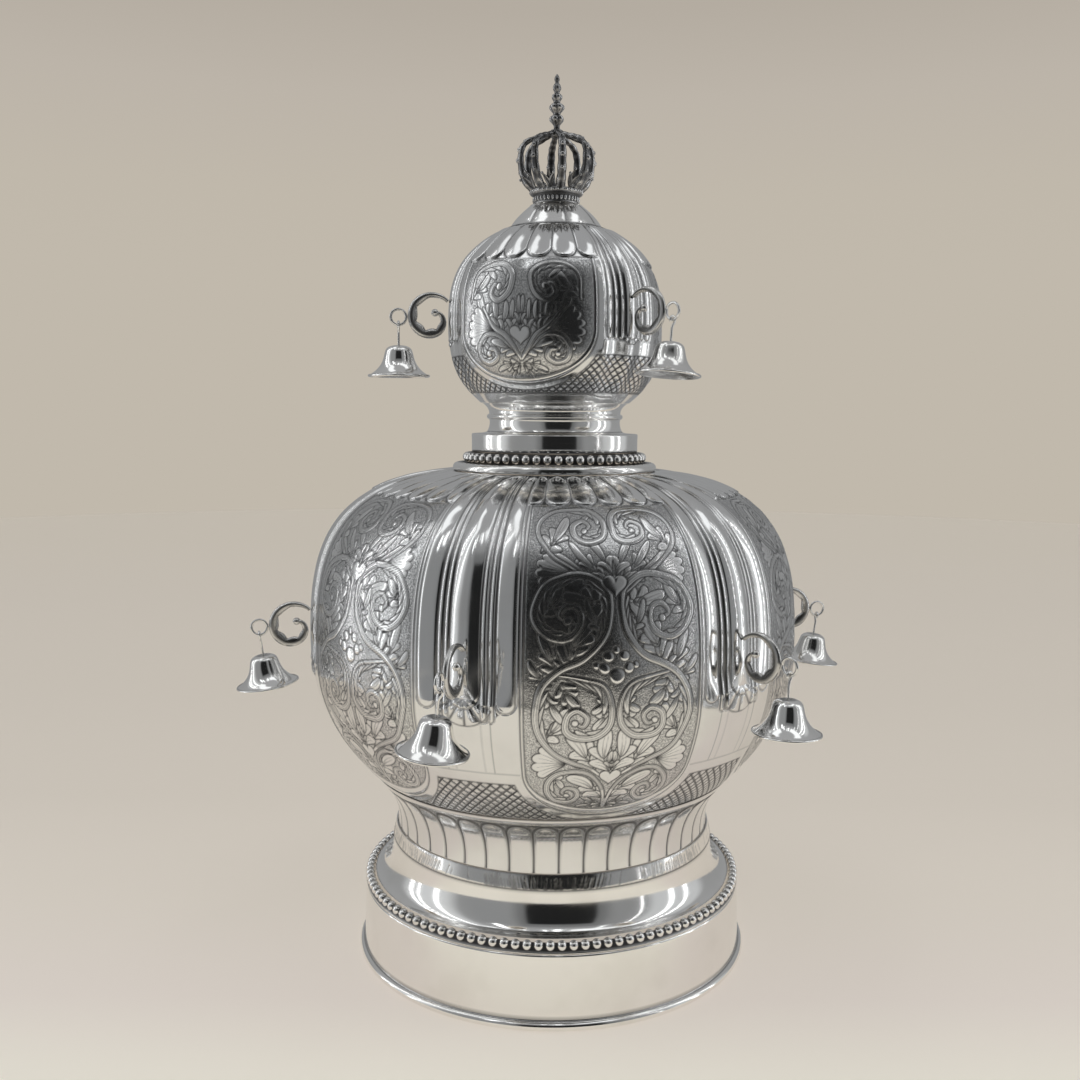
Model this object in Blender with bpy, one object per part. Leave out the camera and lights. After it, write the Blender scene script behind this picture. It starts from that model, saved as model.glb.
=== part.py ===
"""A silver torah crown: base band, beaded foot, gadrooned waist, two chased bulbs, coronet and nine bells.

Metres, +Z up. The origin is the middle of the base's underside, and the middle of a chased panel faces -Y.
"""

import math

import bmesh
import bpy
from mathutils import Euler, Vector

# Sheet, clearances and how finely round pieces are divided
WALL = 0.0011
GAP = 0.0003
STANDING = 0.5
SIDES = 32
NECK_SIDES = 20
BELL_SIDES = 10

# Radii of the base, from the waist's foot out to the rolled edge of the band
WAIST_RADIUS = 0.0728
FOOT_LEDGE = 0.0010
FOOT_TAPER = 0.0014
COVE_SPREAD = 0.0085
BEAD_RADIUS = 0.0022
BEAD_SEAT = 0.8 * BEAD_RADIUS
BEAD_SHELF = 0.0016
BAND_LEDGE = 0.0018
BAND_FLARE = 0.0010
ROLL_OUTSET = 0.0004
FOOT_TOP_RADIUS = WAIST_RADIUS + FOOT_LEDGE
COVE_TOP_RADIUS = FOOT_TOP_RADIUS + FOOT_TAPER
FOOT_EDGE_RADIUS = COVE_TOP_RADIUS + COVE_SPREAD
BEADING_RADIUS = FOOT_EDGE_RADIUS + GAP + BEAD_RADIUS
BAND_TOP_RADIUS = BEADING_RADIUS + BAND_LEDGE
BAND_FOOT_RADIUS = BAND_TOP_RADIUS + BAND_FLARE
ROLL_CENTRE_RADIUS = BAND_FOOT_RADIUS + ROLL_OUTSET
ROLL_RADIUS = 0.0019
ROLL_FLAT = math.radians(18)
ROLL_SEAM = math.radians(97)

# Levels of the base, each from the one below
BAND_TOP = 0.0312
BEADING_HEIGHT = 0.0052
FOOT_SINK = 0.0005
COVE_RISE = 0.0166
FOOT_BAND_HEIGHT = 0.0062
BEADING_TOP = BAND_TOP + GAP + BEADING_HEIGHT
FOOT_EDGE_LEVEL = BEADING_TOP - FOOT_SINK
COVE_TOP = FOOT_EDGE_LEVEL + COVE_RISE
FOOT_TOP = COVE_TOP + FOOT_BAND_HEIGHT

# Waist
GADROONS = 44
GADROON_DEPTH = 0.0006
GADROON_TURN = math.radians(2.16)
GADROON_ROWS = (0.0, 0.4, 0.75, 1.0)
GADROON_HEIGHT = 0.0229
WAIST_THROAT = 0.0030
WAIST_ARC = 0.0280
WAIST_RIM = 0.0040
WAIST_LEDGE = 0.0027
WAIST_LEVEL = FOOT_TOP + WAIST_THROAT
GADROON_TOP = FOOT_TOP + GAP + GADROON_HEIGHT
WAIST_TOP = GADROON_TOP + WAIST_RIM

# Large bulb: its profile closes BULB_MOUTH above the level where it is cut open
BULB_RADIUS = 0.1110
BULB_BELLY = 0.0538
BULB_DROP = 0.0840
BULB_RISE = 0.0834
BULB_MOUTH = 0.0008
BULB_LEVEL = WAIST_TOP + BULB_BELLY
BULB_TOP = BULB_LEVEL + BULB_RISE - BULB_MOUTH
PANELS = 6
PANEL_HALF = math.radians(19.25)
RIB_GROW = 0.0080
RIB_FADE = 0.0200
RIB_FULL = BULB_LEVEL + RIB_GROW

# Relief of a ribbed panel, shared by both bulbs
LOBE_HEIGHT = 0.0003
VALLEY_DEPTH = 0.0013

# Neck: the moulding lies on the bulb's rim, and each piece above on the one below
MOULDING_SEAT = 0.0015
MOULDING_WIRE = 0.0022
MOULDING_COLLAR = 0.0020
MOULDING_ARC = (-0.7, 1.5)
MOULDING_HEIGHT = 0.0035
NECK_BEADING_INSET = 0.0044
NECK_BEAD_RADIUS = 0.0021
NECK_BEADING_HEIGHT = 0.0043
DRUM_HEIGHT = 0.0081
NECK_RING_RISE = 0.0078
NECK_RING_WIDTH = 0.0012
NECK_STEP = 0.0010
NECK_SEAT = 0.0008
NECK_FLARE = 0.0033
NECK_TOP_RISE = 0.0060
MOULDING_TOP = BULB_TOP + GAP + MOULDING_HEIGHT
NECK_BEADING_TOP = MOULDING_TOP + GAP + NECK_BEADING_HEIGHT
DRUM_TOP = NECK_BEADING_TOP + GAP + DRUM_HEIGHT
NECK_RING_LEVEL = DRUM_TOP + NECK_RING_RISE
NECK_TOP = NECK_RING_LEVEL + NECK_TOP_RISE

# Small bulb
UPPER_RADIUS = 0.0484
UPPER_BELLY = 0.0328
UPPER_DROP = 0.0440
UPPER_RISE = 0.0510
UPPER_MOUTH = 0.0064
UPPER_FLANGE = 0.0027
UPPER_LEVEL = NECK_TOP + UPPER_BELLY
UPPER_TOP = UPPER_LEVEL + UPPER_RISE - UPPER_MOUTH
UPPER_PANELS = 3
UPPER_PANEL_HALF = math.radians(42)
UPPER_FADE = 0.0120

# Cap
CAP_LOBES = 8
CAP_LOBE_DEPTH = 0.0006
CAP_LEDGE = 0.0018
CAP_TAPER = 0.0096
CAP_BULGE = 0.0010
CAP_HEIGHT = 0.0105
CAP_TOP = UPPER_TOP + GAP + CAP_HEIGHT

# Coronet
CORONET_SIDES = 16
CORONET_LEDGE = 0.0012
CORONET_WALL = 0.0018
FLANGE_REACH = 0.0016
FLANGE_RISE = 0.0048
FLANGE_HEIGHT = 0.0020
ARCHES = 8
ARCH_TURN = math.radians(-3.5)
ARCH_BULGE = 0.0066
ARCH_RISE = 0.0240
ARCH_WIDTH = 0.0036
ARCH_THICKNESS = 0.0011
ARCH_NARROWING = 0.75
ARCH_SPRING = ((0.24, 0.02), (0.70, 0.20))
ARCH_SHOULDER = 0.6
ARCH_TURNS = (0.0, 0.9, 1.45)
HUB_RADIUS = 0.0026
HUB_SINK = 0.0010
HUB_HEIGHT = 0.0030
FLANGE_FOOT = CAP_TOP + FLANGE_RISE
CORONET_RIM = FLANGE_FOOT + FLANGE_HEIGHT
ARCH_CROWN = CORONET_RIM + ARCH_RISE
HUB_TOP = ARCH_CROWN + HUB_HEIGHT

# Finial
FINIAL_HEIGHT = 0.0233
FINIAL_RADIUS = 0.0036
FINIAL_TIERS = 4
TIER_SHRINK = 0.07
LEAVES = 4
LEAF_HOLLOW = 0.78

# Bells and what they hang from
HANGING_TURN = math.pi / PANELS
LOWER_RISE = 0.0207
UPPER_HANGING_RISE = 0.0120
LOWER_LEVEL = BULB_LEVEL + LOWER_RISE
UPPER_HANGING_LEVEL = UPPER_LEVEL + UPPER_HANGING_RISE
SCROLL_REACH = 0.0102
SCROLL_CENTRE = 0.0074
SCROLL_START = math.radians(134)
SCROLL_SWEEP = math.radians(374)
SCROLL_CLOSING = 0.75
SCROLL_WIDTH = 0.0010
SCROLL_SLIM = 0.8
SCROLL_SWELL = 0.9
SCROLL_POINTS = 10
SCROLL_THICKNESS = 0.0024
LOOP_RADIUS = 0.0034
LOOP_WIRE = 0.0006
HOOK_WIRE = 0.0005
BELL_DROP = 0.0124
BELL_RADIUS = 0.01375
BELL_HEIGHT = 0.0140
BELL_WALL = 0.0009
BELL_HOLE = 0.00085
BELL_SHAPE = ((0.40, 0.10), (0.60, 0.58), (1.0, 0.965))
CLAPPER_RADIUS = 0.0019
CLAPPER_DROP = 0.0048
LOWER_LEANS = ((2.0, 0.0), (0.0, 8.0), (7.0, 0.0))
UPPER_LEANS = ((6.0, 0.0), (0.0, 3.0), (0.0, 0.0))

SILVER = (0.82, 0.81, 0.79)
DARK_SILVER = (0.45, 0.44, 0.42)


def clear_scene():
    for obj in list(bpy.data.objects):
        bpy.data.objects.remove(obj, do_unlink=True)


def silver(name, colour=SILVER, roughness=0.22):
    """Polished silver, or silver left dark in its recesses."""
    material = bpy.data.materials.new(name)
    material.use_nodes = True
    shader = material.node_tree.nodes["Principled BSDF"]
    shader.inputs["Base Color"].default_value = (*colour, 1)
    shader.inputs["Metallic"].default_value = 1.0
    shader.inputs["Roughness"].default_value = roughness
    return material


def finish_mesh(name, bm, material):
    """A closed mesh with its faces turned out, smooth except at its sharper edges."""
    bmesh.ops.recalc_face_normals(bm, faces=bm.faces)
    mesh = bpy.data.meshes.new(name)
    bm.to_mesh(mesh)
    bm.free()
    mesh.shade_smooth()
    mesh.set_sharp_from_angle(angle=math.radians(35))
    mesh.materials.append(material)
    return mesh


def add_object(name, mesh):
    obj = bpy.data.objects.new(name, mesh)
    bpy.context.scene.collection.objects.link(obj)
    return obj


def around(radius, angle, height):
    """A point at this angle from -Y, turning toward +X."""
    return Vector((radius * math.sin(angle), -radius * math.cos(angle), height))


def even_angles(count, turn=0.0):
    return [turn + 2 * math.pi * i / count for i in range(count)]


def bridge(bm, longer, shorter):
    """Faces between two rings, the first of which has a whole number of times as many points."""
    ratio = len(longer) // len(shorter)
    for i in range(len(shorter)):
        stretch = [longer[(i * ratio + k) % len(longer)] for k in range(ratio + 1)]
        bm.faces.new([*stretch, shorter[(i + 1) % len(shorter)], shorter[i]])


def ring_mesh(name, rings, material):
    """A hollow body of rings, each (angles, radius function, height), joined up in a loop."""
    bm = bmesh.new()
    rows = []
    for angles, radius_at, height in rings:
        rows.append([bm.verts.new(around(radius_at(a), a, height)) for a in angles])
    for row, following in zip(rows, rows[1:] + rows[:1]):
        bridge(bm, *sorted((row, following), key=len, reverse=True))
    return finish_mesh(name, bm, material)


def turned_mesh(name, outline, material, sides):
    """A ring turned round Z from a closed outline of (radius, height)."""
    angles = even_angles(sides)
    return ring_mesh(name, [(angles, lambda a, r=r: r, z) for r, z in outline], material)


def arc(centre, radius, start, end, count):
    """Points (radius, height) on an arc, by angle from the outward direction."""
    angles = [start + (end - start) * i / (count - 1) for i in range(count)]
    return [(centre[0] + radius * math.cos(a), centre[1] + radius * math.sin(a)) for a in angles]


def inset(outline, depth):
    """An open outline (radius, height) that runs upward, moved inward by a sheet's thickness.

    An end of a sheet that stands rather than lies is cut level.
    """
    moved = []
    last = len(outline) - 1
    for i, (r, z) in enumerate(outline):
        before = outline[max(i - 1, 0)]
        after = outline[min(i + 1, last)]
        along = Vector((after[0] - before[0], after[1] - before[1])).normalized()
        if i in (0, last) and along.y > STANDING:
            moved.append((r - depth / along.y, z))
        else:
            moved.append((r - depth * along.y, z + depth * along.x))
    return moved


def eased(low, high, count):
    """Values from low to high that draw together toward both ends."""
    middle = (low + high) / 2
    half = (high - low) / 2
    return [middle - half * math.cos(math.pi * i / (count - 1)) for i in range(count)]


def bulb_radius(z):
    """The large bulb's profile: a round belly under a fuller shoulder."""
    if z < BULB_LEVEL:
        part = (BULB_LEVEL - z) / BULB_DROP
        return BULB_RADIUS * (1 - part**1.8) ** (1 / 2.12)
    part = (z - BULB_LEVEL) / BULB_RISE
    return BULB_RADIUS * (1 - part**3.14) ** (1 / 4)


def upper_radius(z):
    """The small bulb's profile, drawn in more toward the cap than toward the neck."""
    if z < UPPER_LEVEL:
        part = (UPPER_LEVEL - z) / UPPER_DROP
        return UPPER_RADIUS * (1 - part**2.5) ** (1 / 1.8)
    part = (z - UPPER_LEVEL) / UPPER_RISE
    return UPPER_RADIUS * (1 - part**3) ** (1 / 1.5)


def waist_radius(z):
    """The waist's profile: a hollow arc that flares up to a ledge under the bulb."""
    flare = bulb_radius(WAIST_TOP + GAP) - WAIST_LEDGE - WAIST_RADIUS
    part, whole = (1 - math.sqrt(1 - ((level - WAIST_LEVEL) / WAIST_ARC)**2) for level in (z, GADROON_TOP))
    return WAIST_RADIUS + flare * part / whole


def cap_radius(z):
    """The cap's profile: a cone with a slight swell, set in from the small bulb's shoulder."""
    part = (z - UPPER_TOP - GAP) / CAP_HEIGHT
    swell = CAP_BULGE * math.sin(math.pi * part)
    return upper_radius(UPPER_TOP) - CAP_LEDGE - CAP_TAPER * part + swell


def rib_relief(panels, panel_half, panel_steps):
    """{angle: relief} round a bulb: between two panels, a lobe with a valley on each side."""
    half = math.pi / panels - panel_half
    relief = {}
    for middle in even_angles(panels, HANGING_TURN):
        heights = (0.0, -VALLEY_DEPTH, LOBE_HEIGHT, -VALLEY_DEPTH, 0.0)
        for k, height in enumerate(heights):
            relief[middle + (k / 2 - 1) * half] = height
        for k in range(1, panel_steps):
            relief[middle + half + 2 * panel_half * k / panel_steps] = 0.0
    return relief


def bulb_mesh(name, outline, relief, share_at, material):
    """A bulb of sheet metal that is ribbed inside and out, open at both ends."""
    angles = list(relief)
    rings = []
    for r, z in outline + inset(outline, WALL)[::-1]:
        share = share_at(z)
        rings.append((angles, lambda a, r=r, share=share: r + share * relief[a], z))
    return ring_mesh(name, rings, material)


def add_base_band():
    """The plain band with its rolled edge, flat where it stands."""
    centre = (ROLL_CENTRE_RADIUS, ROLL_RADIUS * math.cos(ROLL_FLAT))
    outline = arc(centre, ROLL_RADIUS, ROLL_FLAT - math.pi / 2, ROLL_SEAM, 4)
    outline.append((BAND_TOP_RADIUS, BAND_TOP))
    outline.append((BAND_TOP_RADIUS - WALL, BAND_TOP))
    outline.append((BAND_FOOT_RADIUS - WALL, 2 * ROLL_RADIUS))
    outline += arc(centre, ROLL_RADIUS, math.pi, 1.5 * math.pi - ROLL_FLAT, 2)
    add_object("base_band", turned_mesh("base_band", outline, silver("band_silver", roughness=0.16), SIDES))


def add_base_beading():
    """The ring of beads on top of the band, as one rounded ring with a shelf for the foot."""
    centre = (BEADING_RADIUS, BEADING_TOP - BEAD_RADIUS)
    foot = BAND_TOP + GAP
    shelf = FOOT_EDGE_LEVEL - WALL - GAP
    inside = BEADING_RADIUS - BEAD_RADIUS
    outline = [(inside - BEAD_SHELF, foot), (BEADING_RADIUS + BEAD_SEAT, foot)]
    outline += arc(centre, BEAD_RADIUS, 0, math.pi, 4)
    outline += [(inside, shelf), (inside - BEAD_SHELF, shelf)]
    add_object("base_beading", turned_mesh("base_beading", outline, silver("bead_silver"), SIDES))


def add_foot():
    """The cove and the narrow band above it, turned in at the top to carry the waist."""
    rise = COVE_TOP - FOOT_EDGE_LEVEL
    outline = []
    for i in range(5):
        turn = math.pi / 2 * i / 4
        spread = (FOOT_EDGE_RADIUS - COVE_TOP_RADIUS) * (1 - math.sin(turn))
        outline.append((COVE_TOP_RADIUS + spread, COVE_TOP - rise * math.cos(turn)))
    outline.append((FOOT_TOP_RADIUS, FOOT_TOP))
    inside = inset(outline, WALL)
    lip = WAIST_RADIUS - WALL
    outline += [(lip, FOOT_TOP), (lip, FOOT_TOP - WALL), (inside[-1][0], FOOT_TOP - WALL)]
    outline += [*inside[-3::-2], inside[0]]
    add_object("foot", turned_mesh("foot", outline, silver("foot_silver", roughness=0.16), SIDES))


def add_waist():
    """The gadroons under a narrow plain moulding."""
    angles = even_angles(2 * GADROONS, GADROON_TURN)
    grooves = set(angles[1::2])
    rings = []
    foot = FOOT_TOP + GAP
    for share in GADROON_ROWS:
        z = foot + share * (GADROON_TOP - foot)
        r = waist_radius(z)
        rings.append((angles, lambda a, r=r: r - GADROON_DEPTH * (a in grooves), z))
    top = bulb_radius(WAIST_TOP + GAP)
    rings.append((angles, lambda a: top, WAIST_TOP))
    inside = [(waist_radius(z), z) for z in (foot, (foot + GADROON_TOP) / 2)] + [(top, WAIST_TOP)]
    for r, z in reversed(inset(inside, WALL + GADROON_DEPTH)):
        rings.append((angles[::2], lambda a, r=r: r, z))
    add_object("waist", ring_mesh("waist", rings, silver("waist_silver", roughness=0.18)))


def add_main_bulb():
    """The large bulb, ribbed between its panels above the belly."""
    low = eased(WAIST_TOP + GAP, 2 * BULB_LEVEL - WAIST_TOP, 9)[:4]
    high = [RIB_FULL + (BULB_TOP - RIB_FULL) * math.sin(math.pi / 2 * i / 5) for i in range(6)]
    outline = [(bulb_radius(z), z) for z in [*low, BULB_LEVEL, *high]]
    relief = rib_relief(PANELS, PANEL_HALF, 4)

    def share_at(z):
        rising = min(max((z - BULB_LEVEL) / RIB_GROW, 0), 1)
        return rising * min((BULB_TOP - z) / RIB_FADE, 1)

    add_object("main_bulb", bulb_mesh("main_bulb", outline, relief, share_at, silver("chased_silver")))


def add_neck():
    """The moulding, the small beading, and the drum with the waisted neck above it."""
    moulding = bulb_radius(BULB_TOP) - MOULDING_SEAT
    foot = BULB_TOP + GAP
    inside = moulding - MOULDING_WIRE - MOULDING_COLLAR
    centre = (moulding, MOULDING_TOP - MOULDING_WIRE)
    outline = [(inside, foot), *arc(centre, MOULDING_WIRE, *MOULDING_ARC, 4), (inside, MOULDING_TOP)]
    material = silver("moulding_silver")
    add_object("neck_moulding", turned_mesh("neck_moulding", outline, material, NECK_SIDES))

    beading = moulding - NECK_BEADING_INSET
    drum = beading - NECK_BEAD_RADIUS
    inside = drum - WALL
    foot = MOULDING_TOP + GAP
    middle = (foot + NECK_BEADING_TOP) / 2
    edge = beading + NECK_BEAD_RADIUS / 2
    outline = [(inside, foot), (edge, foot), (beading + NECK_BEAD_RADIUS, middle)]
    outline += [(edge, NECK_BEADING_TOP), (inside, NECK_BEADING_TOP)]
    add_object("neck_beading", turned_mesh("neck_beading", outline, silver("neck_bead_silver"), NECK_SIDES))

    top = upper_radius(NECK_TOP + GAP) - NECK_SEAT
    throat = top - NECK_FLARE
    ring = throat + NECK_RING_WIDTH
    foot = NECK_BEADING_TOP + GAP
    flare = (throat + NECK_STEP / 2, NECK_RING_LEVEL + 2.5 * NECK_STEP)
    outline = [(drum, foot), (drum, DRUM_TOP), (ring, DRUM_TOP + NECK_STEP)]
    outline += [(throat, NECK_RING_LEVEL - 3 * NECK_STEP), (ring, NECK_RING_LEVEL), flare, (top, NECK_TOP)]
    outline += [(top - 2 * WALL, NECK_TOP), (flare[0] - WALL, flare[1]), (throat - WALL, DRUM_TOP)]
    outline += [(drum - WALL, DRUM_TOP - WALL), (drum - WALL, foot)]
    add_object("neck", turned_mesh("neck", outline, silver("neck_silver", roughness=0.16), NECK_SIDES))


def add_upper_bulb():
    """The small bulb, ribbed between its three panels, with a flange for the cap."""
    foot = NECK_TOP + GAP
    outline = [(upper_radius(z), z) for z in eased(foot, UPPER_TOP, 9)]
    outline.append((upper_radius(UPPER_TOP) - UPPER_FLANGE, UPPER_TOP))
    relief = rib_relief(UPPER_PANELS, UPPER_PANEL_HALF, 6)

    def share_at(z):
        return min(max(min(z - foot, UPPER_TOP - z) / UPPER_FADE, 0), 1)

    material = silver("upper_chased_silver")
    add_object("upper_bulb", bulb_mesh("upper_bulb", outline, relief, share_at, material))


def add_cap():
    """The lobed cap, creased between its lobes."""
    angles = even_angles(3 * CAP_LOBES)
    creases = set(angles[::3])
    foot = UPPER_TOP + GAP
    rings = []
    for i in range(4):
        z = foot + (CAP_TOP - foot) * i / 3
        r = cap_radius(z)
        rings.append((angles, lambda a, r=r: r - CAP_LOBE_DEPTH * (a in creases), z))
    depth = WALL + CAP_LOBE_DEPTH
    for z in (CAP_TOP, foot):
        r = cap_radius(z) - depth
        rings.append((angles[::3], lambda a, r=r: r, z))
    add_object("cap", ring_mesh("cap", rings, silver("cap_silver", roughness=0.14)))


def box_loops(bm, loops):
    """A closed bar through four-sided loops of points."""
    rows = [[bm.verts.new(p) for p in loop] for loop in loops]
    for row, following in zip(rows, rows[1:]):
        bridge(bm, row, following)
    bm.faces.new(rows[0][::-1])
    bm.faces.new(rows[-1])


def coronet_radius():
    """The outside of the coronet's ring, set in from the cap's top."""
    return cap_radius(CAP_TOP) - CORONET_LEDGE


def arch_path():
    """(radius, height) along one arch, from the coronet's rim out and up to the hub."""
    foot = coronet_radius() - CORONET_WALL / 2
    spread = coronet_radius() + ARCH_BULGE
    path = [(foot, FLANGE_FOOT)]
    for out, up in ARCH_SPRING:
        path.append((foot + out * (spread - foot), CORONET_RIM + up * ARCH_RISE))
    for turn in ARCH_TURNS:
        outward = HUB_RADIUS + (spread - HUB_RADIUS) * math.cos(turn)
        upward = ARCH_SHOULDER + (1 - ARCH_SHOULDER) * math.sin(turn)
        path.append((outward, CORONET_RIM + ARCH_RISE * upward))
    path.append((HUB_RADIUS / 2, ARCH_CROWN + ARCH_THICKNESS / 2))
    return path


def add_arch(bm, angle):
    """One arch: a strip that narrows toward the hub."""
    path = arch_path()
    loops = []
    side = around(1, angle + math.pi / 2, 0)
    for i, (r, z) in enumerate(path):
        before = path[max(i - 1, 0)]
        after = path[min(i + 1, len(path) - 1)]
        along = Vector((after[0] - before[0], after[1] - before[1])).normalized()
        out = around(along.y, angle, -along.x) * ARCH_THICKNESS / 2
        half = side * ARCH_WIDTH / 2 * (1 - ARCH_NARROWING * i / (len(path) - 1))
        middle = around(r, angle, z)
        loops.append([middle + half + out, middle - half + out, middle - half - out, middle + half - out])
    box_loops(bm, loops)


def mesh_object(name, bm):
    """A helper object that a Boolean joins in."""
    bmesh.ops.recalc_face_normals(bm, faces=bm.faces)
    mesh = bpy.data.meshes.new(name)
    bm.to_mesh(mesh)
    bm.free()
    obj = add_object(name, mesh)
    obj.hide_render = True
    obj.display_type = "WIRE"
    return obj


def add_coronet():
    """The coronet: a flanged ring, eight arches and the hub where they meet, fused as one."""
    foot = CAP_TOP + GAP
    radius = coronet_radius()
    inside = radius - CORONET_WALL
    edge = radius + FLANGE_REACH
    outline = [(inside, foot), (radius, foot), (radius, FLANGE_FOOT)]
    outline += [(edge, FLANGE_FOOT), (edge, CORONET_RIM), (inside, CORONET_RIM)]
    material = silver("coronet_silver", DARK_SILVER, 0.3)
    coronet = add_object("coronet", turned_mesh("coronet", outline, material, CORONET_SIDES))
    parts = []
    for i, angle in enumerate(even_angles(ARCHES, ARCH_TURN)):
        bm = bmesh.new()
        add_arch(bm, angle)
        parts.append(mesh_object(f"arch_part_{i}", bm))
    bm = bmesh.new()
    foot = ARCH_CROWN - 2 * HUB_SINK
    size = {"radius1": HUB_RADIUS, "radius2": HUB_RADIUS, "depth": HUB_TOP - foot}
    hub = bmesh.ops.create_cone(bm, cap_ends=True, segments=ARCHES, **size)
    bmesh.ops.translate(bm, verts=hub["verts"], vec=(0, 0, (HUB_TOP + foot) / 2))
    parts.append(mesh_object("hub_part", bm))
    for part in parts:
        union = coronet.modifiers.new(part.name, "BOOLEAN")
        union.operation = "UNION"
        union.object = part


def add_finial():
    """The stem of leaf tiers, each smaller than the one below, and a bud on top."""
    bm = bmesh.new()
    angles = even_angles(2 * LEAVES)
    foot = HUB_TOP + GAP
    levels = [(0.45, 0.0)]
    for tier in range(FINIAL_TIERS):
        shrink = 1 - TIER_SHRINK * tier**2
        levels.append((shrink, (tier + 0.55) / (FINIAL_TIERS + 0.8)))
        levels.append((0.5 * shrink, (tier + 1.0) / (FINIAL_TIERS + 0.8)))
    rows = []
    for share, level in levels:
        row = []
        for k, a in enumerate(angles):
            leaf = 1.0 if k % 2 == 0 else LEAF_HOLLOW
            spot = around(FINIAL_RADIUS * share * leaf, a, foot + FINIAL_HEIGHT * level)
            row.append(bm.verts.new(spot))
        rows.append(row)
    for row, following in zip(rows, rows[1:]):
        bridge(bm, row, following)
    bm.faces.new(rows[0][::-1])
    tip = bm.verts.new((0, 0, foot + FINIAL_HEIGHT))
    for k in range(len(angles)):
        bm.faces.new([rows[-1][k], rows[-1][(k + 1) % len(angles)], tip])
    add_object("finial", finish_mesh("finial", bm, silver("finial_silver", DARK_SILVER, 0.3)))


def scroll_point(part):
    """The scroll at this share of its length: (distance from its middle, turn, half width)."""
    turn = SCROLL_START - SCROLL_SWEEP * part
    reach = SCROLL_REACH * (1 - SCROLL_CLOSING * part**2)
    width = SCROLL_WIDTH * (SCROLL_SLIM + SCROLL_SWELL * math.sin(math.pi * part))
    return reach, turn, width


def scroll_middle():
    """Where the scroll turns about, from the place on the bulb where it starts."""
    return SCROLL_CENTRE, -SCROLL_REACH * math.sin(SCROLL_START)


def loop_place():
    """The middle of the loop, just outside the scroll."""
    reach, _, width = scroll_point(SCROLL_START / SCROLL_SWEEP)
    outward, up = scroll_middle()
    return outward + reach + width + GAP + LOOP_RADIUS + LOOP_WIRE, up


def bracket_mesh():
    """A flat foliate scroll that runs out, down and back in on itself."""
    centre = scroll_middle()
    outer = []
    inner = []
    for i in range(SCROLL_POINTS):
        reach, turn, width = scroll_point(i / (SCROLL_POINTS - 1))
        direction = Vector((math.cos(turn), math.sin(turn)))
        outer.append(Vector(centre) + direction * (reach + width))
        inner.append(Vector(centre) + direction * (reach - width))
    outline = outer + inner[::-1]
    least = min(p.x for p in outline)
    bm = bmesh.new()
    sheets = []
    for side in (-1, 1):
        sheets.append([bm.verts.new((p.x - least, side * SCROLL_THICKNESS / 2, p.y)) for p in outline])
    bridge(bm, *sheets)
    for sheet in sheets:
        for i in range(SCROLL_POINTS - 1):
            bm.faces.new([sheet[i], sheet[i + 1], sheet[-2 - i], sheet[-1 - i]])
    return finish_mesh("bracket", bm, silver("bracket_silver", roughness=0.28))


def loop_mesh():
    """The round wire loop on the scroll, seen from the side."""
    outward, up = loop_place()
    bm = bmesh.new()
    rows = []
    for a in even_angles(8):
        row = []
        for b in even_angles(4):
            reach = LOOP_RADIUS + LOOP_WIRE * math.cos(b)
            spot = (outward + reach * math.cos(a), LOOP_WIRE * math.sin(b), up + reach * math.sin(a))
            row.append(bm.verts.new(spot))
        rows.append(row)
    for row, following in zip(rows, rows[1:] + rows[:1]):
        bridge(bm, row, following)
    return finish_mesh("loop", bm, silver("loop_silver"))


def hook_mesh():
    """The hook over the loop's wire, its stem, the knot that holds the bell, and the clapper.

    Its origin is the middle of the loop's wire, which it hangs from.
    """
    bend = LOOP_WIRE + GAP + HOOK_WIRE
    bell_top = LOOP_RADIUS - BELL_DROP
    knot = bell_top - BELL_WALL - GAP
    clapper = knot - CLAPPER_DROP
    stations = [(-bend * 0.8, -bend * 0.9, HOOK_WIRE), (-bend, 0.0, HOOK_WIRE), (0.0, bend, HOOK_WIRE)]
    stations += [(bend, 0.0, HOOK_WIRE), (0.0, -2 * bend, HOOK_WIRE), (0.0, knot + 2 * GAP, HOOK_WIRE)]
    stations += [(0.0, knot - 0.2 * CLAPPER_RADIUS, 0.75 * CLAPPER_RADIUS), (0.0, knot - 0.0012, HOOK_WIRE)]
    stations += [(0.0, clapper + CLAPPER_RADIUS, HOOK_WIRE), (0.0, clapper, CLAPPER_RADIUS)]
    stations += [(0.0, clapper - CLAPPER_RADIUS, 0.4 * CLAPPER_RADIUS)]
    bm = bmesh.new()
    loops = []
    for i, (y, z, r) in enumerate(stations):
        before = stations[max(i - 1, 0)]
        after = stations[min(i + 1, len(stations) - 1)]
        along = Vector((0, after[0] - before[0], after[1] - before[1])).normalized()
        side = Vector((1, 0, 0))
        across = side.cross(along)
        middle = Vector((0, y, z))
        loops.append([middle + r * (math.cos(b) * side + math.sin(b) * across) for b in even_angles(4)])
    box_loops(bm, loops)
    return finish_mesh("hook", bm, silver("wire_silver"))


def bell_mesh():
    """A bell with a round shoulder, a hollow flare and a lip. Its origin is that of its hook."""
    top = LOOP_RADIUS - BELL_DROP
    outside = [(BELL_RADIUS * wide, top - BELL_HEIGHT * down) for wide, down in BELL_SHAPE]
    outline = [(BELL_HOLE, top), *outside, (BELL_RADIUS - BELL_WALL, top - BELL_HEIGHT)]
    outline += [(r - BELL_WALL, z - BELL_WALL) for r, z in outside[-2::-1]]
    outline.append((BELL_HOLE, top - BELL_WALL))
    return turned_mesh("bell", outline, silver("bell_silver", roughness=0.2), BELL_SIDES)


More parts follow.
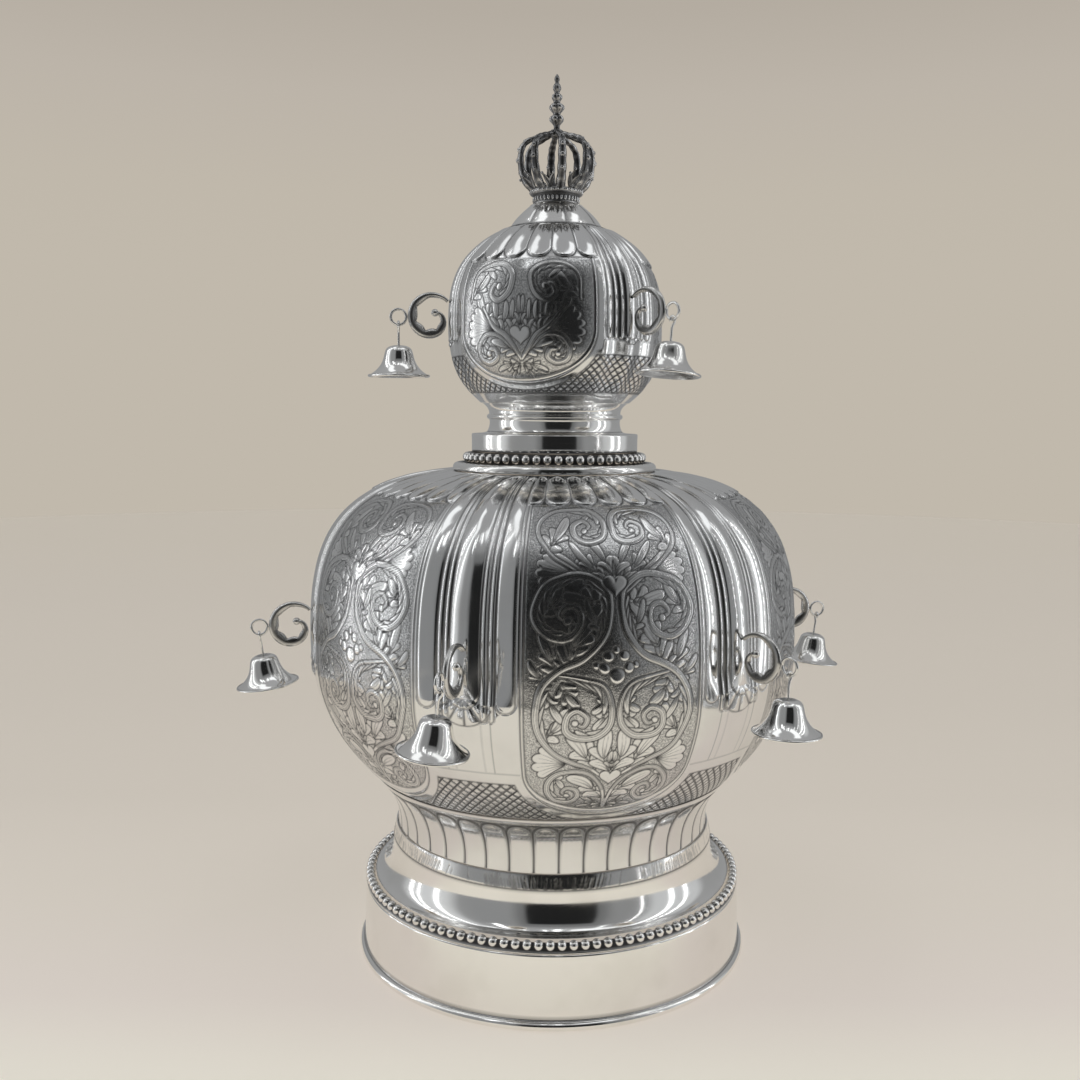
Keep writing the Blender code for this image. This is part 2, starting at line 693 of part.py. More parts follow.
def add_hanging(name, turn, radius, level, lean, meshes):
    """A bracket on the bulb with its loop, hook and bell."""
    outward, up = loop_place()
    start = around(radius + GAP, turn, level)
    spin = turn - math.pi / 2
    for piece in ("bracket", "loop"):
        obj = add_object(f"{name}_{piece}", meshes[piece])
        obj.location = start
        obj.rotation_euler = (0, 0, spin)
    pivot = around(radius + GAP + outward, turn, level + up - LOOP_RADIUS)
    for piece in ("hook", "bell"):
        obj = add_object(f"{name}_{piece}", meshes[piece])
        obj.location = pivot
        swing = Euler((math.radians(-lean[0]), math.radians(lean[1]), 0)).to_matrix()
        obj.rotation_euler = (Euler((0, 0, spin)).to_matrix() @ swing).to_euler()


def add_hangings():
    """Six on the large bulb's lobes and three on the small one's."""
    meshes = {"bracket": bracket_mesh(), "loop": loop_mesh(), "hook": hook_mesh(), "bell": bell_mesh()}
    radius = bulb_radius(LOWER_LEVEL) + LOBE_HEIGHT
    for i, turn in enumerate(even_angles(PANELS, HANGING_TURN)):
        lean = LOWER_LEANS[i % len(LOWER_LEANS)]
        add_hanging(f"lower_{i + 1}", turn, radius, LOWER_LEVEL, lean, meshes)
    radius = upper_radius(UPPER_HANGING_LEVEL) + LOBE_HEIGHT
    for i, turn in enumerate(even_angles(UPPER_PANELS, HANGING_TURN)):
        add_hanging(f"upper_{i + 1}", turn, radius, UPPER_HANGING_LEVEL, UPPER_LEANS[i], meshes)


def main():
    clear_scene()
    add_base_band()
    add_base_beading()
    add_foot()
    add_waist()
    add_main_bulb()
    add_neck()
    add_upper_bulb()
    add_cap()
    add_coronet()
    add_finial()
    add_hangings()


main()
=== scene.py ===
import math

import bpy
import numpy as np
from mathutils import Euler, Matrix, Vector


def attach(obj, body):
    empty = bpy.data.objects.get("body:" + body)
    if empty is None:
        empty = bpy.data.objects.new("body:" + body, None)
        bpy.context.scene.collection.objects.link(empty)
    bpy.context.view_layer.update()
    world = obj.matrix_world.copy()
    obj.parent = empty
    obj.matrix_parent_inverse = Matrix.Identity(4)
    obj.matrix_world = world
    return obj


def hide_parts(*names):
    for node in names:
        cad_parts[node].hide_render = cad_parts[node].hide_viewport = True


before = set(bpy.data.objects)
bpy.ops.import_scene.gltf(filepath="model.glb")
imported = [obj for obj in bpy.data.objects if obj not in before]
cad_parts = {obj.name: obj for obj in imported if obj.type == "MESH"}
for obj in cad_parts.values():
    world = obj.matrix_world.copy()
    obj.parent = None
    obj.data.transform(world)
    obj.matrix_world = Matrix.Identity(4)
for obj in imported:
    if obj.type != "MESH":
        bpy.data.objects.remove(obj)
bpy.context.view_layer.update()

# Torah crown of chased silver. Lengths are in metres, and in millimetres where a name ends in _mm
# or a value belongs to the drawing of the ornament. Angles round the crown start at the front and
# turn to the right.
MM = 0.001
COARSE = 1.0
WALL = 0.0011
GAP = 0.0003
WIRE_SIDES = 8

# Large bulb
BULB_RADIUS = 0.1110
BULB_LEVEL = 0.1400
BULB_DROP = 0.0840
BULB_RISE = 0.0834
BULB_FOOT = 0.0865
BULB_TOP = 0.2226

# Small bulb
UPPER_RADIUS = 0.0484
UPPER_LEVEL = 0.2860
UPPER_DROP = 0.0440
UPPER_RISE = 0.0510
UPPER_FOOT = 0.2535
UPPER_TOP = 0.3306

# Waist
WAIST_RADIUS = 0.0728
WAIST_LEVEL = 0.0620
WAIST_ARC = 0.0280
WAIST_FOOT = 0.0593
GADROONS = 44
GADROON_TURN = math.radians(2.16)
GADROON_RADIUS = 0.0742
GADROON_ARCH = 0.92
GADROON_TOP = 0.0822
WAIST_TOP = 0.0862

# Hanging groups
LOWER_LEVEL = 0.1607
UPPER_HANGING_LEVEL = 0.2980
SCROLL_REACH = 0.0102
SCROLL_CENTRE = 0.0074
SCROLL_START = math.radians(134)
SCROLL_SWEEP = math.radians(374)
SCROLL_CLOSING = 0.75
SCROLL_WIDTH = 0.0010
SCROLL_THICKNESS = 0.0024
LOOP_RADIUS = 0.0034
LOOP_WIRE = 0.0006
HOOK_WIRE = 0.0005
BELL_DROP = 0.0124
BELL_RADIUS = 0.01375
BELL_HEIGHT = 0.0140
BELL_WALL = 0.0009
CLAPPER_RADIUS = 0.0019
CLAPPER_DROP = 0.0048
LOBE_HEIGHT = 0.0003
LOWER_LEANS = ((2, 0), (0, 8), (7, 0))
UPPER_LEANS = ((6, 0), (0, 3), (0, 0))

# Camera
CAMERA_TURN = math.radians(-12.4)
CAMERA_DISTANCE = 0.5100
CAMERA_HEIGHT = 0.2486
CAMERA_PITCH = math.radians(6.55)
CAMERA_ROLL = math.radians(0.39)
CAMERA_LENS_MM = 36.67
CAMERA_SHIFT = -0.0129


# Curves and profiles


def bulb_radius(z):
    below = BULB_RADIUS * (1 - np.clip((BULB_LEVEL - z) / BULB_DROP, 0, 1) ** 1.8) ** (1 / 2.12)
    above = BULB_RADIUS * (1 - np.clip((z - BULB_LEVEL) / BULB_RISE, 0, 1) ** 3.14) ** 0.25
    return np.where(z < BULB_LEVEL, below, above)


def upper_radius(z):
    below = UPPER_RADIUS * (1 - np.clip((UPPER_LEVEL - z) / UPPER_DROP, 0, 1) ** 2.5) ** (1 / 1.8)
    above = UPPER_RADIUS * (1 - np.clip((z - UPPER_LEVEL) / UPPER_RISE, 0, 1) ** 3) ** (1 / 1.5)
    return np.where(z < UPPER_LEVEL, below, above)


def waist_radius(z):
    return WAIST_RADIUS + WAIST_ARC - np.sqrt(WAIST_ARC**2 - (z - WAIST_LEVEL) ** 2)


def smooth(value, low=0.0, high=1.0):
    """0 under low, 1 over high, and a soft step between them."""
    share = np.clip((value - low) / (high - low), 0, 1)
    return share * share * (3 - 2 * share)


def spline(points, count):
    """A smooth curve through these points, with this many steps from one to the next."""
    p = np.array(points, float)
    p = np.vstack([2 * p[0] - p[1], p, 2 * p[-1] - p[-2]])
    s = (np.arange(count) / count)[:, None]
    parts = []
    for a, b, c, d in zip(p[:-3], p[1:-2], p[2:-1], p[3:]):
        bend, twist = 2 * a - 5 * b + 4 * c - d, 3 * b - a - 3 * c + d
        parts.append(0.5 * (2 * b + (c - a) * s + bend * s**2 + twist * s**3))
    parts.append(p[-2:-1])
    return np.vstack(parts)


def arc(centre, radius, start, end, count):
    turns = np.linspace(start, end, count)
    return [(centre[0] + radius * math.cos(a), centre[1] + radius * math.sin(a)) for a in turns]


def even_turns(count):
    """This many even turns, all the way round."""
    return 2 * math.pi * np.arange(count) / count


def around_axis(r, angles, z):
    """Places at these distances from the axis, angles round it and heights."""
    r, angles, z = np.broadcast_arrays(r, angles, z)
    return np.stack([r * np.sin(angles), -r * np.cos(angles), z], -1)


def ridge(value, width, middle=0.0):
    """1 at the middle, with a soft fall to 0 on both sides."""
    return np.exp(-(((value - middle) / width) ** 2))


# Meshes from grids of points


def grid(co, closed_across=False, closed_along=False, flip=False, oxide_and_shade=None, ground=None):
    return {
        "co": np.asarray(co, float),
        "across": closed_across,
        "along": closed_along,
        "flip": flip,
        "oxide_and_shade": oxide_and_shade,
        "ground": ground,
    }


def mesh_from_grids(name, grids):
    places, quads, oxide_and_shade_values, grounds = [], [], [], []
    start = 0
    for g in grids:
        rows, columns = g["co"].shape[:2]
        index = np.arange(rows * columns).reshape(rows, columns) + start
        if g["across"]:
            index = np.concatenate([index, index[:, :1]], axis=1)
        if g["along"]:
            index = np.concatenate([index, index[:1]], axis=0)
        corners = [index[:-1, :-1], index[:-1, 1:], index[1:, 1:], index[1:, :-1]]
        if g["flip"]:
            corners.reverse()
        quads.append(np.stack(corners, -1).reshape(-1, 4))
        places.append(g["co"].reshape(-1, 3))
        for store, key in ((oxide_and_shade_values, "oxide_and_shade"), (grounds, "ground")):
            value = np.zeros((rows, columns)) if g[key] is None else g[key]
            store.append(np.broadcast_to(value, (rows, columns)).reshape(-1))
        start += rows * columns
    quads = np.concatenate(quads).astype(np.int32)
    places = np.concatenate(places).astype(np.float32)
    mesh = bpy.data.meshes.new(name)
    mesh.vertices.add(len(places))
    mesh.vertices.foreach_set("co", places.reshape(-1))
    mesh.loops.add(4 * len(quads))
    mesh.loops.foreach_set("vertex_index", quads.reshape(-1))
    mesh.polygons.add(len(quads))
    mesh.polygons.foreach_set("loop_start", np.arange(0, 4 * len(quads), 4, dtype=np.int32))
    mesh.polygons.foreach_set("use_smooth", np.ones(len(quads), bool))
    mesh.update(calc_edges=True)
    for key, values in (("oxide_and_shade", oxide_and_shade_values), ("ground", grounds)):
        attribute = mesh.attributes.new(key, "FLOAT", "POINT")
        attribute.data.foreach_set("value", np.concatenate(values).astype(np.float32))
    return mesh


def add_piece(name, mesh, material, node, place=None):
    """One piece of the crown that stands for this solid."""
    if not mesh.materials:
        mesh.materials.append(material)
    if place is not None:
        mesh = mesh.copy()
        mesh.transform(place)
    obj = bpy.data.objects.new(name, mesh)
    bpy.context.scene.collection.objects.link(obj)
    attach(obj, "root")
    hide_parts(node)


def add_fine(node, grids, material):
    """A finer piece of these grids in the place of one solid."""
    add_piece(f"{node}_fine", mesh_from_grids(f"{node}_fine", grids), material, node)


def round_grid(outline, columns, oxide_and_shade=None, **options):
    """The surface that an outline of (radius, height) sweeps round the axis.

    The oxide is one value for each point of the outline.
    """
    outline = np.array(outline, float)
    co = around_axis(outline[:, :1], even_turns(columns), outline[:, 1:])
    if oxide_and_shade is not None:
        oxide_and_shade = np.array(oxide_and_shade, float)[:, None]
    return grid(co, closed_across=True, oxide_and_shade=oxide_and_shade, **options)


def ball_grid(centre, radius, rows, columns, stretch=1.0, oxide_and_shade=None):
    tilt = np.linspace(-math.pi / 2, math.pi / 2, rows)[:, None]
    turn = even_turns(columns)
    ahead, side = np.cos(tilt) * np.cos(turn), np.cos(tilt) * np.sin(turn)
    up = stretch * np.sin(tilt) * np.ones_like(turn)
    return grid(np.array(centre) + radius * np.stack([ahead, side, up], -1), closed_across=True, oxide_and_shade=oxide_and_shade)


def bead_ring(count, ring, level, radius, rows, columns, start=0.0, stretch=1.0, oxide_and_shade=None):
    """Beads in a ring round the axis."""
    spots = around_axis(ring, start + even_turns(count), level)
    return [ball_grid(spot, radius, rows, columns, stretch, oxide_and_shade) for spot in spots]


def tube_grid(path, radius, closed=False, across=(1, 0, 0), squash=1.0, oxide_and_shade=None):
    """A wire along a path. Its radius may change along the way, and squash narrows it one way."""
    path = np.array(path, float)
    ahead = np.roll(path, -1, 0) - np.roll(path, 1, 0) if closed else np.gradient(path, axis=0)
    ahead /= np.linalg.norm(ahead, axis=1, keepdims=True)
    side = np.array(across, float) - ahead * (ahead @ np.array(across, float))[:, None]
    side /= np.linalg.norm(side, axis=1, keepdims=True)
    up = np.cross(ahead, side)
    radius = np.broadcast_to(np.asarray(radius, float), len(path))[:, None, None]
    turn = even_turns(WIRE_SIDES)[None, :, None]
    co = path[:, None] + radius * (np.cos(turn) * side[:, None] + squash * np.sin(turn) * up[:, None])
    return grid(co, closed_across=True, closed_along=closed, flip=True, oxide_and_shade=oxide_and_shade)


# Drawing of the chased ornament

LEAF_RELIEF = 0.10
STEM_RELIEF = 0.14
OUTER, INNER = (0.45, 1.0), (1.0, 0.45)


def nearest(places, line):
    """How far each place is from a line, and how far along the line its nearest point is."""
    best = np.full(places.shape[:2], 1e9)
    along = np.zeros(places.shape[:2])
    for i, (a, b) in enumerate(zip(line[:-1], line[1:])):
        d = b - a
        away = places - a
        s = np.clip((away @ d) / max(d @ d, 1e-9), 0, 1)
        distance = np.hypot(away[..., 0] - s * d[0], away[..., 1] - s * d[1])
        closer = distance < best
        best = np.where(closer, distance, best)
        along = np.where(closer, i + s, along)
    return best, along / (len(line) - 1)


def within(places, outline):
    x, y = places[..., 0], places[..., 1]
    inside = np.zeros(x.shape, bool)
    for (ax, ay), (bx, by) in zip(outline, np.roll(outline, -1, 0)):
        if ay == by:
            continue
        crosses = (ay > y) != (by > y)
        inside ^= crosses & (x < ax + (y - ay) * (bx - ax) / (by - ay))
    return inside


def bow(base, via, tip, count):
    """A curve from base to tip that is drawn toward via."""
    s = np.linspace(0, 1, count)[:, None]
    return (1 - s) ** 2 * base + 2 * s * (1 - s) * via + s**2 * tip


def normals(line):
    """Unit vectors to the left of a line, at each of its points."""
    ahead = np.gradient(line, axis=0)
    ahead /= np.maximum(np.linalg.norm(ahead, axis=1, keepdims=True), 1e-9)
    return np.stack([-ahead[:, 1], ahead[:, 0]], -1)


class Canvas:
    """Half of a symmetric panel: relief in millimetres, dark lines and matted ground."""

    def __init__(self, width, low, high):
        self.low = low
        self.cell = cell = 0.2
        self.u = np.arange(-2.0, width + cell, cell)
        self.t = np.arange(low, high + cell, cell)
        self.places = np.stack(np.meshgrid(self.u, self.t), -1)
        self.relief = np.zeros(self.places.shape[:2])
        self.oxide_and_shade = np.zeros_like(self.relief)
        self.ground = np.ones_like(self.relief)

    def window(self, points, margin=1.5):
        low = (points.min(0) - margin - (self.u[0], self.t[0])) / self.cell
        high = (points.max(0) + margin - (self.u[0], self.t[0])) / self.cell
        first, last = np.maximum(low.astype(int), 0), np.maximum(high.astype(int) + 1, 0)
        return slice(first[1], last[1]), slice(first[0], last[0])

    def darken(self, place, mark):
        self.oxide_and_shade[place] = np.maximum(self.oxide_and_shade[place], mark)

    def lay(self, place, depth, height):
        """Lays a raised shape where depth, the distance inside its edge, is over 0."""
        cover = smooth(depth, -0.12, 0.12)
        form = height * (0.35 + 0.65 * smooth(depth, 0, 1.2))
        self.relief[place] += (form - self.relief[place]) * cover
        self.ground[place] *= 1 - cover
        self.oxide_and_shade[place] *= 1 - cover
        edge = ridge(depth, 0.25, -0.05)
        self.darken(place, 0.92 * edge)
        self.relief[place] -= 0.05 * edge

    def cut(self, line, width, dark=0.85):
        """An engraved line that thins toward its end."""
        place = self.window(line, 1.0)
        away, along = nearest(self.places[place], line)
        mark = ridge(away, width * (1.15 - 0.65 * along)) * (1 - 0.6 * along)
        self.darken(place, dark * mark)
        self.relief[place] -= 0.04 * mark

    def shape(self, outline):
        place = self.window(outline)
        away, _ = nearest(self.places[place], np.vstack([outline, outline[:1]]))
        self.lay(place, np.where(within(self.places[place], outline), away, -away), LEAF_RELIEF)

    def disc(self, centre, radius):
        centre = np.array(centre, float)
        place = self.window(centre[None], radius + 1.5)
        away = self.places[place] - centre
        self.lay(place, radius - np.hypot(away[..., 0], away[..., 1]), STEM_RELIEF)

    def lobe(self, base, via, tip, width):
        """A leaf's lobe: a curved drop that is narrow at its base, with two engraved lines along it."""
        line = bow(base, via, tip, 17)
        s = np.linspace(0, 1, 17)[:, None]
        spread = 1.06 * width * s**0.65 * np.sqrt(1 - s) * normals(line)
        self.shape(np.vstack([line + spread, (line - spread)[::-1]]))
        for share in (-1 / 3, 1 / 3):
            self.cut(line[1:14] + 0.8 * share * spread[1:14], 0.19, 0.8)

    def leaf(self, base, tip, width, bend, pairs, sides=(1.0, 1.0)):
        """An acanthus leaf: pairs of lobes that leave its rib one after another, and one at its tip."""
        base, tip = np.array(base, float), np.array(tip, float)
        run = tip - base
        side = np.array((-run[1], run[0])) / np.hypot(*run)
        rib = bow(base, (base + tip) / 2 + side * bend, tip, 41)
        out = normals(rib)
        for k in range(pairs):
            a = int(40 * (0.02 + 0.50 * k / pairs))
            b = int(min(a + 40 * (0.26 + 0.16 / pairs), 38))
            reach = width * (0.50 - 0.10 * k / pairs)
            for way, share in zip((1, -1), sides):
                end = rib[b] + way * share * reach * out[b]
                via = rib[(a + 5 * b) // 6] - way * share * 0.10 * reach * out[b]
                self.lobe(rib[a], via, end, width * 0.37 * max(share, 0.7))
        a = int(40 * (0.30 + 0.10 * pairs / 3))
        via = rib[(a + 40) // 2] + 0.10 * width * out[20] * (1 if bend > 0 else -1)
        self.lobe(rib[a], via, tip, 0.42 * width)
        self.cut(rib[:26:5], 0.24, 0.9)

    def fan(self, base, aim, radius, spread, lobes):
        """A shell that opens from its base toward aim, in degrees."""
        base = np.array(base, float)
        turn = np.radians(np.linspace(aim - spread, aim + spread, 12 * lobes + 1))
        wave = np.abs(np.sin(np.linspace(0, math.pi * lobes, 12 * lobes + 1)))
        reach = radius * (0.86 + 0.14 * wave**0.6) * (1 - 0.14 * np.abs(np.linspace(-1, 1, len(turn))) ** 2)
        rim = base + np.stack([np.cos(turn), np.sin(turn)], -1) * reach[:, None]
        self.shape(np.vstack([base[None], rim]))
        for k in range(1, 2 * lobes):
            end = rim[6 * k]
            reach, width = (0.98, 0.22) if k % 2 == 0 else (0.84, 0.16)
            self.cut(np.stack([base, base + reach * (end - base)]), width)

    def stem(self, points, widths, ball=0.0, fringes=()):
        """A scrolling stem with inner lines and a ball in its curl, and lobes that peel off one side.

        A fringe is (where it starts, where it ends, count, how far its lobes run, how far they
        part from the stem, width). The first, second and fourth are in points along the stem.
        """
        line = spline(points, 10)
        out = normals(line)
        for first, last, count, run, part, width in fringes:
            for start in np.linspace(first, last, count):
                a, b = int(10 * start), int(10 * (start + run))
                b = min(b, len(line) - 1)
                middle = (a + b) // 2
                self.lobe(line[a], line[middle] + 0.15 * part * out[middle], line[b] + part * out[b], width)
        place = self.window(line, 4.0)
        away, along = nearest(self.places[place], line)
        half = np.interp(along, np.linspace(0, 1, len(widths)), widths)
        depth = half - away
        self.lay(place, depth, STEM_RELIEF)
        inner = ridge(depth, 0.18, 0.62 * half) * (half > 0.8) * (depth > 0)
        self.darken(place, 0.65 * inner)
        if ball:
            self.disc(line[-1], ball)

    def heart(self, centre, size):
        a = np.linspace(0, 2 * math.pi, 40, endpoint=False)
        x = 16 * np.sin(a) ** 3
        y = 13 * np.cos(a) - 5 * np.cos(2 * a) - 2 * np.cos(3 * a) - np.cos(4 * a)
        self.shape(np.array(centre, float) + np.stack([x, y], -1) * size / 32)

    def sample(self, u, t):
        """Relief, oxide and ground at these places, the same on both sides of the axis."""
        x = np.clip((np.abs(u) - self.u[0]) / self.cell, 0, len(self.u) - 1.001)
        y = np.clip((t - self.low) / self.cell, 0, len(self.t) - 1.001)
        i, j = x.astype(int), y.astype(int)
        fx, fy = x - i, y - j
        found = []
        for sheet in (self.relief, self.oxide_and_shade, self.ground):
            low = sheet[j, i] * (1 - fx) + sheet[j, i + 1] * fx
            high = sheet[j + 1, i] * (1 - fx) + sheet[j + 1, i + 1] * fx
            found.append(low * (1 - fy) + high * fy)
        return found


def main_ornament():
    """The scrolls, leaves, shells and hearts of a large panel."""
    c = Canvas(38.0, -59.0, 86.0)
    for leaf in (
        # under and in the lowest scroll
        ((1.0, -50.5), (13.5, -49.5), 4.6, 2.0, 2),
        ((1.0, -49.0), (11.5, -41.0), 5.6, -2.0, 2, OUTER),
        ((1.8, -44.0), (18.4, -30.8), 12.5, 4.0, 2, OUTER),
        ((25.2, -31.0), (19.6, -37.8), 7.4, -2.2, 1),
        # palmette
        ((7.0, -27.8), (18.6, -10.4), 13.0, 1.4, 2),
        ((0.6, -28.5), (2.6, -8.8), 13.5, -4.2, 2, OUTER),
        ((0.2, -27.0), (0.4, -18.6), 5.0, -1.0, 1),
        # in and round the lower volute
        ((29.8, -14.0), (19.2, 0.6), 10.5, 4.0, 2, INNER),
        ((20.5, 9.6), (13.4, 0.2), 9.5, 2.6, 2),
        ((26.4, 6.4), (20.4, -6.4), 6.8, 1.6, 1),
        ((3.2, -1.0), (9.4, -8.6), 8.0, -2.4, 1),
        ((3.0, 3.6), (9.6, -2.2), 7.4, -1.4, 1),
        # flames between the volutes
        ((24.6, 9.0), (33.4, 17.8), 7.4, -2.6, 2),
        ((23.2, 10.5), (29.8, 28.0), 9.0, 1.6, 2),
        ((21.6, 12.5), (22.6, 25.6), 6.4, 1.2, 1),
        ((19.5, 13.4), (7.4, 34.6), 13.0, -3.6, 3),
        # in the upper volute
        ((2.4, 39.0), (20.6, 42.6), 12.0, -2.4, 2),
        ((30.6, 34.0), (20.8, 47.6), 8.8, 3.4, 2, INNER),
        ((4.4, 27.0), (11.4, 40.4), 6.4, -2.4, 1),
        # spray under the topmost scroll
        ((2.6, 46.0), (26.0, 60.4), 7.0, -2.4, 2),
        ((2.6, 47.0), (17.6, 63.4), 8.0, -1.6, 2),
        ((0.8, 49.0), (9.4, 63.8), 8.0, 2.0, 1),
        ((29.8, 58.0), (18.0, 75.4), 11.0, 3.6, 2),
        ((4.4, 80.0), (14.8, 71.6), 6.6, -2.0, 1),
    ):
        c.leaf(*leaf)
    c.fan((19.2, -24.2), 3.0, 13.4, 46.0, 4)
    c.fan((17.0, 50.4), 8.0, 14.6, 34.0, 4)
    c.stem(((21.7, 12), (12.8, 10.8), (4.9, 7.7), (1.7, 0.6), (2.2, -7.3), (7.5, -12.0), (14.6, -12.6),
           (19.2, -9.1), (18.8, -3.6), (14.6, -1.2), (11.2, -4.0), (12.8, -7.6), (15.8, -6.4)),
           (0.6, 1.0, 1.3, 1.35, 1.2, 0.7), ball=1.3, fringes=((0.1, 1.7, 4, 1.8, 3.2, 2.4),
           (3.3, 5.0, 3, 1.5, 2.6, 2.2)))
    c.stem(((4.4, 43), (14.2, 50.1), (24.8, 57.2), (30.4, 65.2), (30.1, 72.2), (24.8, 78), (15.9, 79.8),
           (7.1, 78.9), (2.4, 74.9), (1.9, 69.6), (3.4, 64.6), (8.8, 62.6), (14.6, 65.2), (15.6, 70.4),
           (11.6, 73), (8.6, 70.2), (10.8, 68)), (0.6, 1.0, 1.2, 1.35, 1.35, 1.2, 0.7), ball=1.3,
           fringes=((5.4, 7.0, 3, 1.8, 3.0, 2.4), (8.4, 10.2, 3, 1.6, 2.4, 2.0)))
    c.stem(((0.2, -50.5), (1.3, -41.8), (5.7, -33), (12.8, -28.4), (20.8, -29), (25.6, -33.9),
           (26.5, -40), (23.4, -45.4), (17.2, -46.6), (13.1, -43), (13.9, -38.6), (17.6, -37.4),
           (19.8, -40.2), (17.8, -42)), (0.6, 1.0, 1.2, 1.35, 1.2, 0.7), ball=1.3,
           fringes=((4.4, 6.4, 3, 1.7, -2.6, 2.2),))
    c.stem(((1.2, -33), (9.3, -26.8), (17.2, -23.3), (25.2, -17.9), (29.6, -10), (30.8, -1.1),
           (28.3, 7.7), (21.7, 13.9), (12.8, 18.3), (7.5, 22.7), (3.8, 28.9), (2.1, 35), (2.1, 39.5),
           (3.8, 44.8), (9.3, 48.8), (16.4, 49.7), (24.3, 47.5), (29.6, 42.2), (31.4, 35), (28.7, 28.9),
           (22.5, 25.4), (16.8, 26.7), (13.6, 31.6), (14.6, 36.8), (19, 38.2), (21.6, 34.8),
           (18.8, 32.6)), (0.6, 1.1, 1.3, 1.4, 1.4, 1.3, 1.3, 1.3, 1.3, 1.3, 1.3, 1.1, 0.7), ball=1.4,
           fringes=((3.0, 4.6, 3, 1.6, 2.8, 2.2), (8.6, 10.6, 4, 2.0, -3.0, 2.4),
           (14.4, 16.6, 4, 1.7, -3.0, 2.4), (17.4, 19.0, 3, 1.5, -2.6, 2.2)))
    c.heart((0.0, -31.5), 9.0)
    c.heart((0.0, 45.6), 10.0)
    for u, t, radius in ((0, 21.5, 1.5), (3, 19, 2), (7.6, 15.4, 1.4), (4.6, 14.4, 2.1), (0, 11.6, 3)):
        c.disc((u, t), radius)
    return c


def upper_ornament():
    """The shells, scrolls and heart of a small panel."""
    c = Canvas(36.0, -31.0, 32.0)
    for leaf in (
        ((12.0, -3.0), (21.6, 14.6), 9.0, -2.0, 2),
        ((10.4, -3.0), (13.0, 11.4), 7.0, 0.6, 1),
        ((8.6, -4.0), (7.0, 9.4), 6.0, 1.4, 1),
        ((3.4, -4.0), (3.6, 10.0), 5.6, -0.8, 1),
        ((0.4, -1.0), (0.6, 12.0), 4.6, -0.6, 1),
        ((26.6, 11.0), (15.6, 22.0), 8.4, 2.6, 2, INNER),
        ((21.0, 25.0), (12.2, 18.4), 6.0, -1.2, 1),
        ((1.2, -13.0), (14.4, -7.4), 8.4, 2.6, 2, OUTER),
        ((20.8, -6.0), (15.0, -12.0), 5.0, -1.4, 1),
        ((0.8, -17.0), (12.0, -20.6), 5.6, 2.2, 2),
        ((0.6, -18.0), (5.8, -24.0), 4.0, 0.8, 1),
    ):
        c.leaf(*leaf)
    c.fan((12.4, -2.6), 3.0, 15.4, 48.0, 6)
    c.stem(((0.4, -15), (5.5, -8.5), (11.5, -4.6), (17.6, -5.2), (21.0, -9.4), (20.2, -14.4),
           (15.8, -16.6), (11.8, -14.4), (12.2, -11.2), (14.8, -10.8), (15.8, -12.6)),
           (0.6, 1.0, 1.2, 1.2, 0.9), ball=1.3, fringes=((3.4, 5.0, 3, 1.6, -2.2, 1.8),))
    c.stem(((25.6, 9.7), (24.4, 20.9), (17.2, 25.3), (10, 25.3), (4.4, 20.9), (5.2, 13.7), (10, 9.7),
           (14.4, 12.1), (13.2, 16.1), (10.4, 15.3)), (0.6, 1.2, 1.3, 1.2, 1.0), ball=1.5,
           fringes=((1.2, 2.6, 3, 1.5, 2.8, 2.2), (3.4, 4.6, 3, 1.4, 2.4, 2.0)))
    c.stem(((0.4, -15), (6.0, -5.6), (12, -1.5), (18, 6.5)), (0.7, 1.2, 1.1, 0.5))
    c.heart((0.0, -4.6), 9.0)
    return c


# Relief of the bulbs


def ellipse_depth(u, t, wide, side, drop):
    """How far a place is inside a shape with straight sides and a rounded foot."""
    v = np.minimum(t - side, 0)
    e = np.hypot(u / wide, v / drop)
    slope = np.hypot(u / wide**2, v / drop**2) / np.maximum(e, 1e-6)
    round_part = (1 - e) / np.maximum(slope, 1e-6)
    return np.where(t > side, wide - np.abs(u), round_part)


def lattice(around, t, pitch):
    """Small pillows between crossed double lines."""
    a = (around + t) / pitch
    b = (around - t) / pitch
    x = 2 * np.abs(a - np.round(a))
    y = 2 * np.abs(b - np.round(b))
    edge = np.maximum(x, y)
    pillow = 0.24 * (1 - edge**3)
    dark = smooth(edge, 0.62, 0.84) * (1 - 0.35 * smooth(edge, 0.93, 1.0))
    return pillow, dark


def strip(x, half, t, foot, crown):
    """A rounded strip that runs up from its rounded foot: (inside distance, height)."""
    depth = np.where(t > foot + half, half - np.abs(x), half - np.hypot(x, t - foot - half))
    return depth, crown * (1 - np.clip(x / half, -1, 1) ** 2)


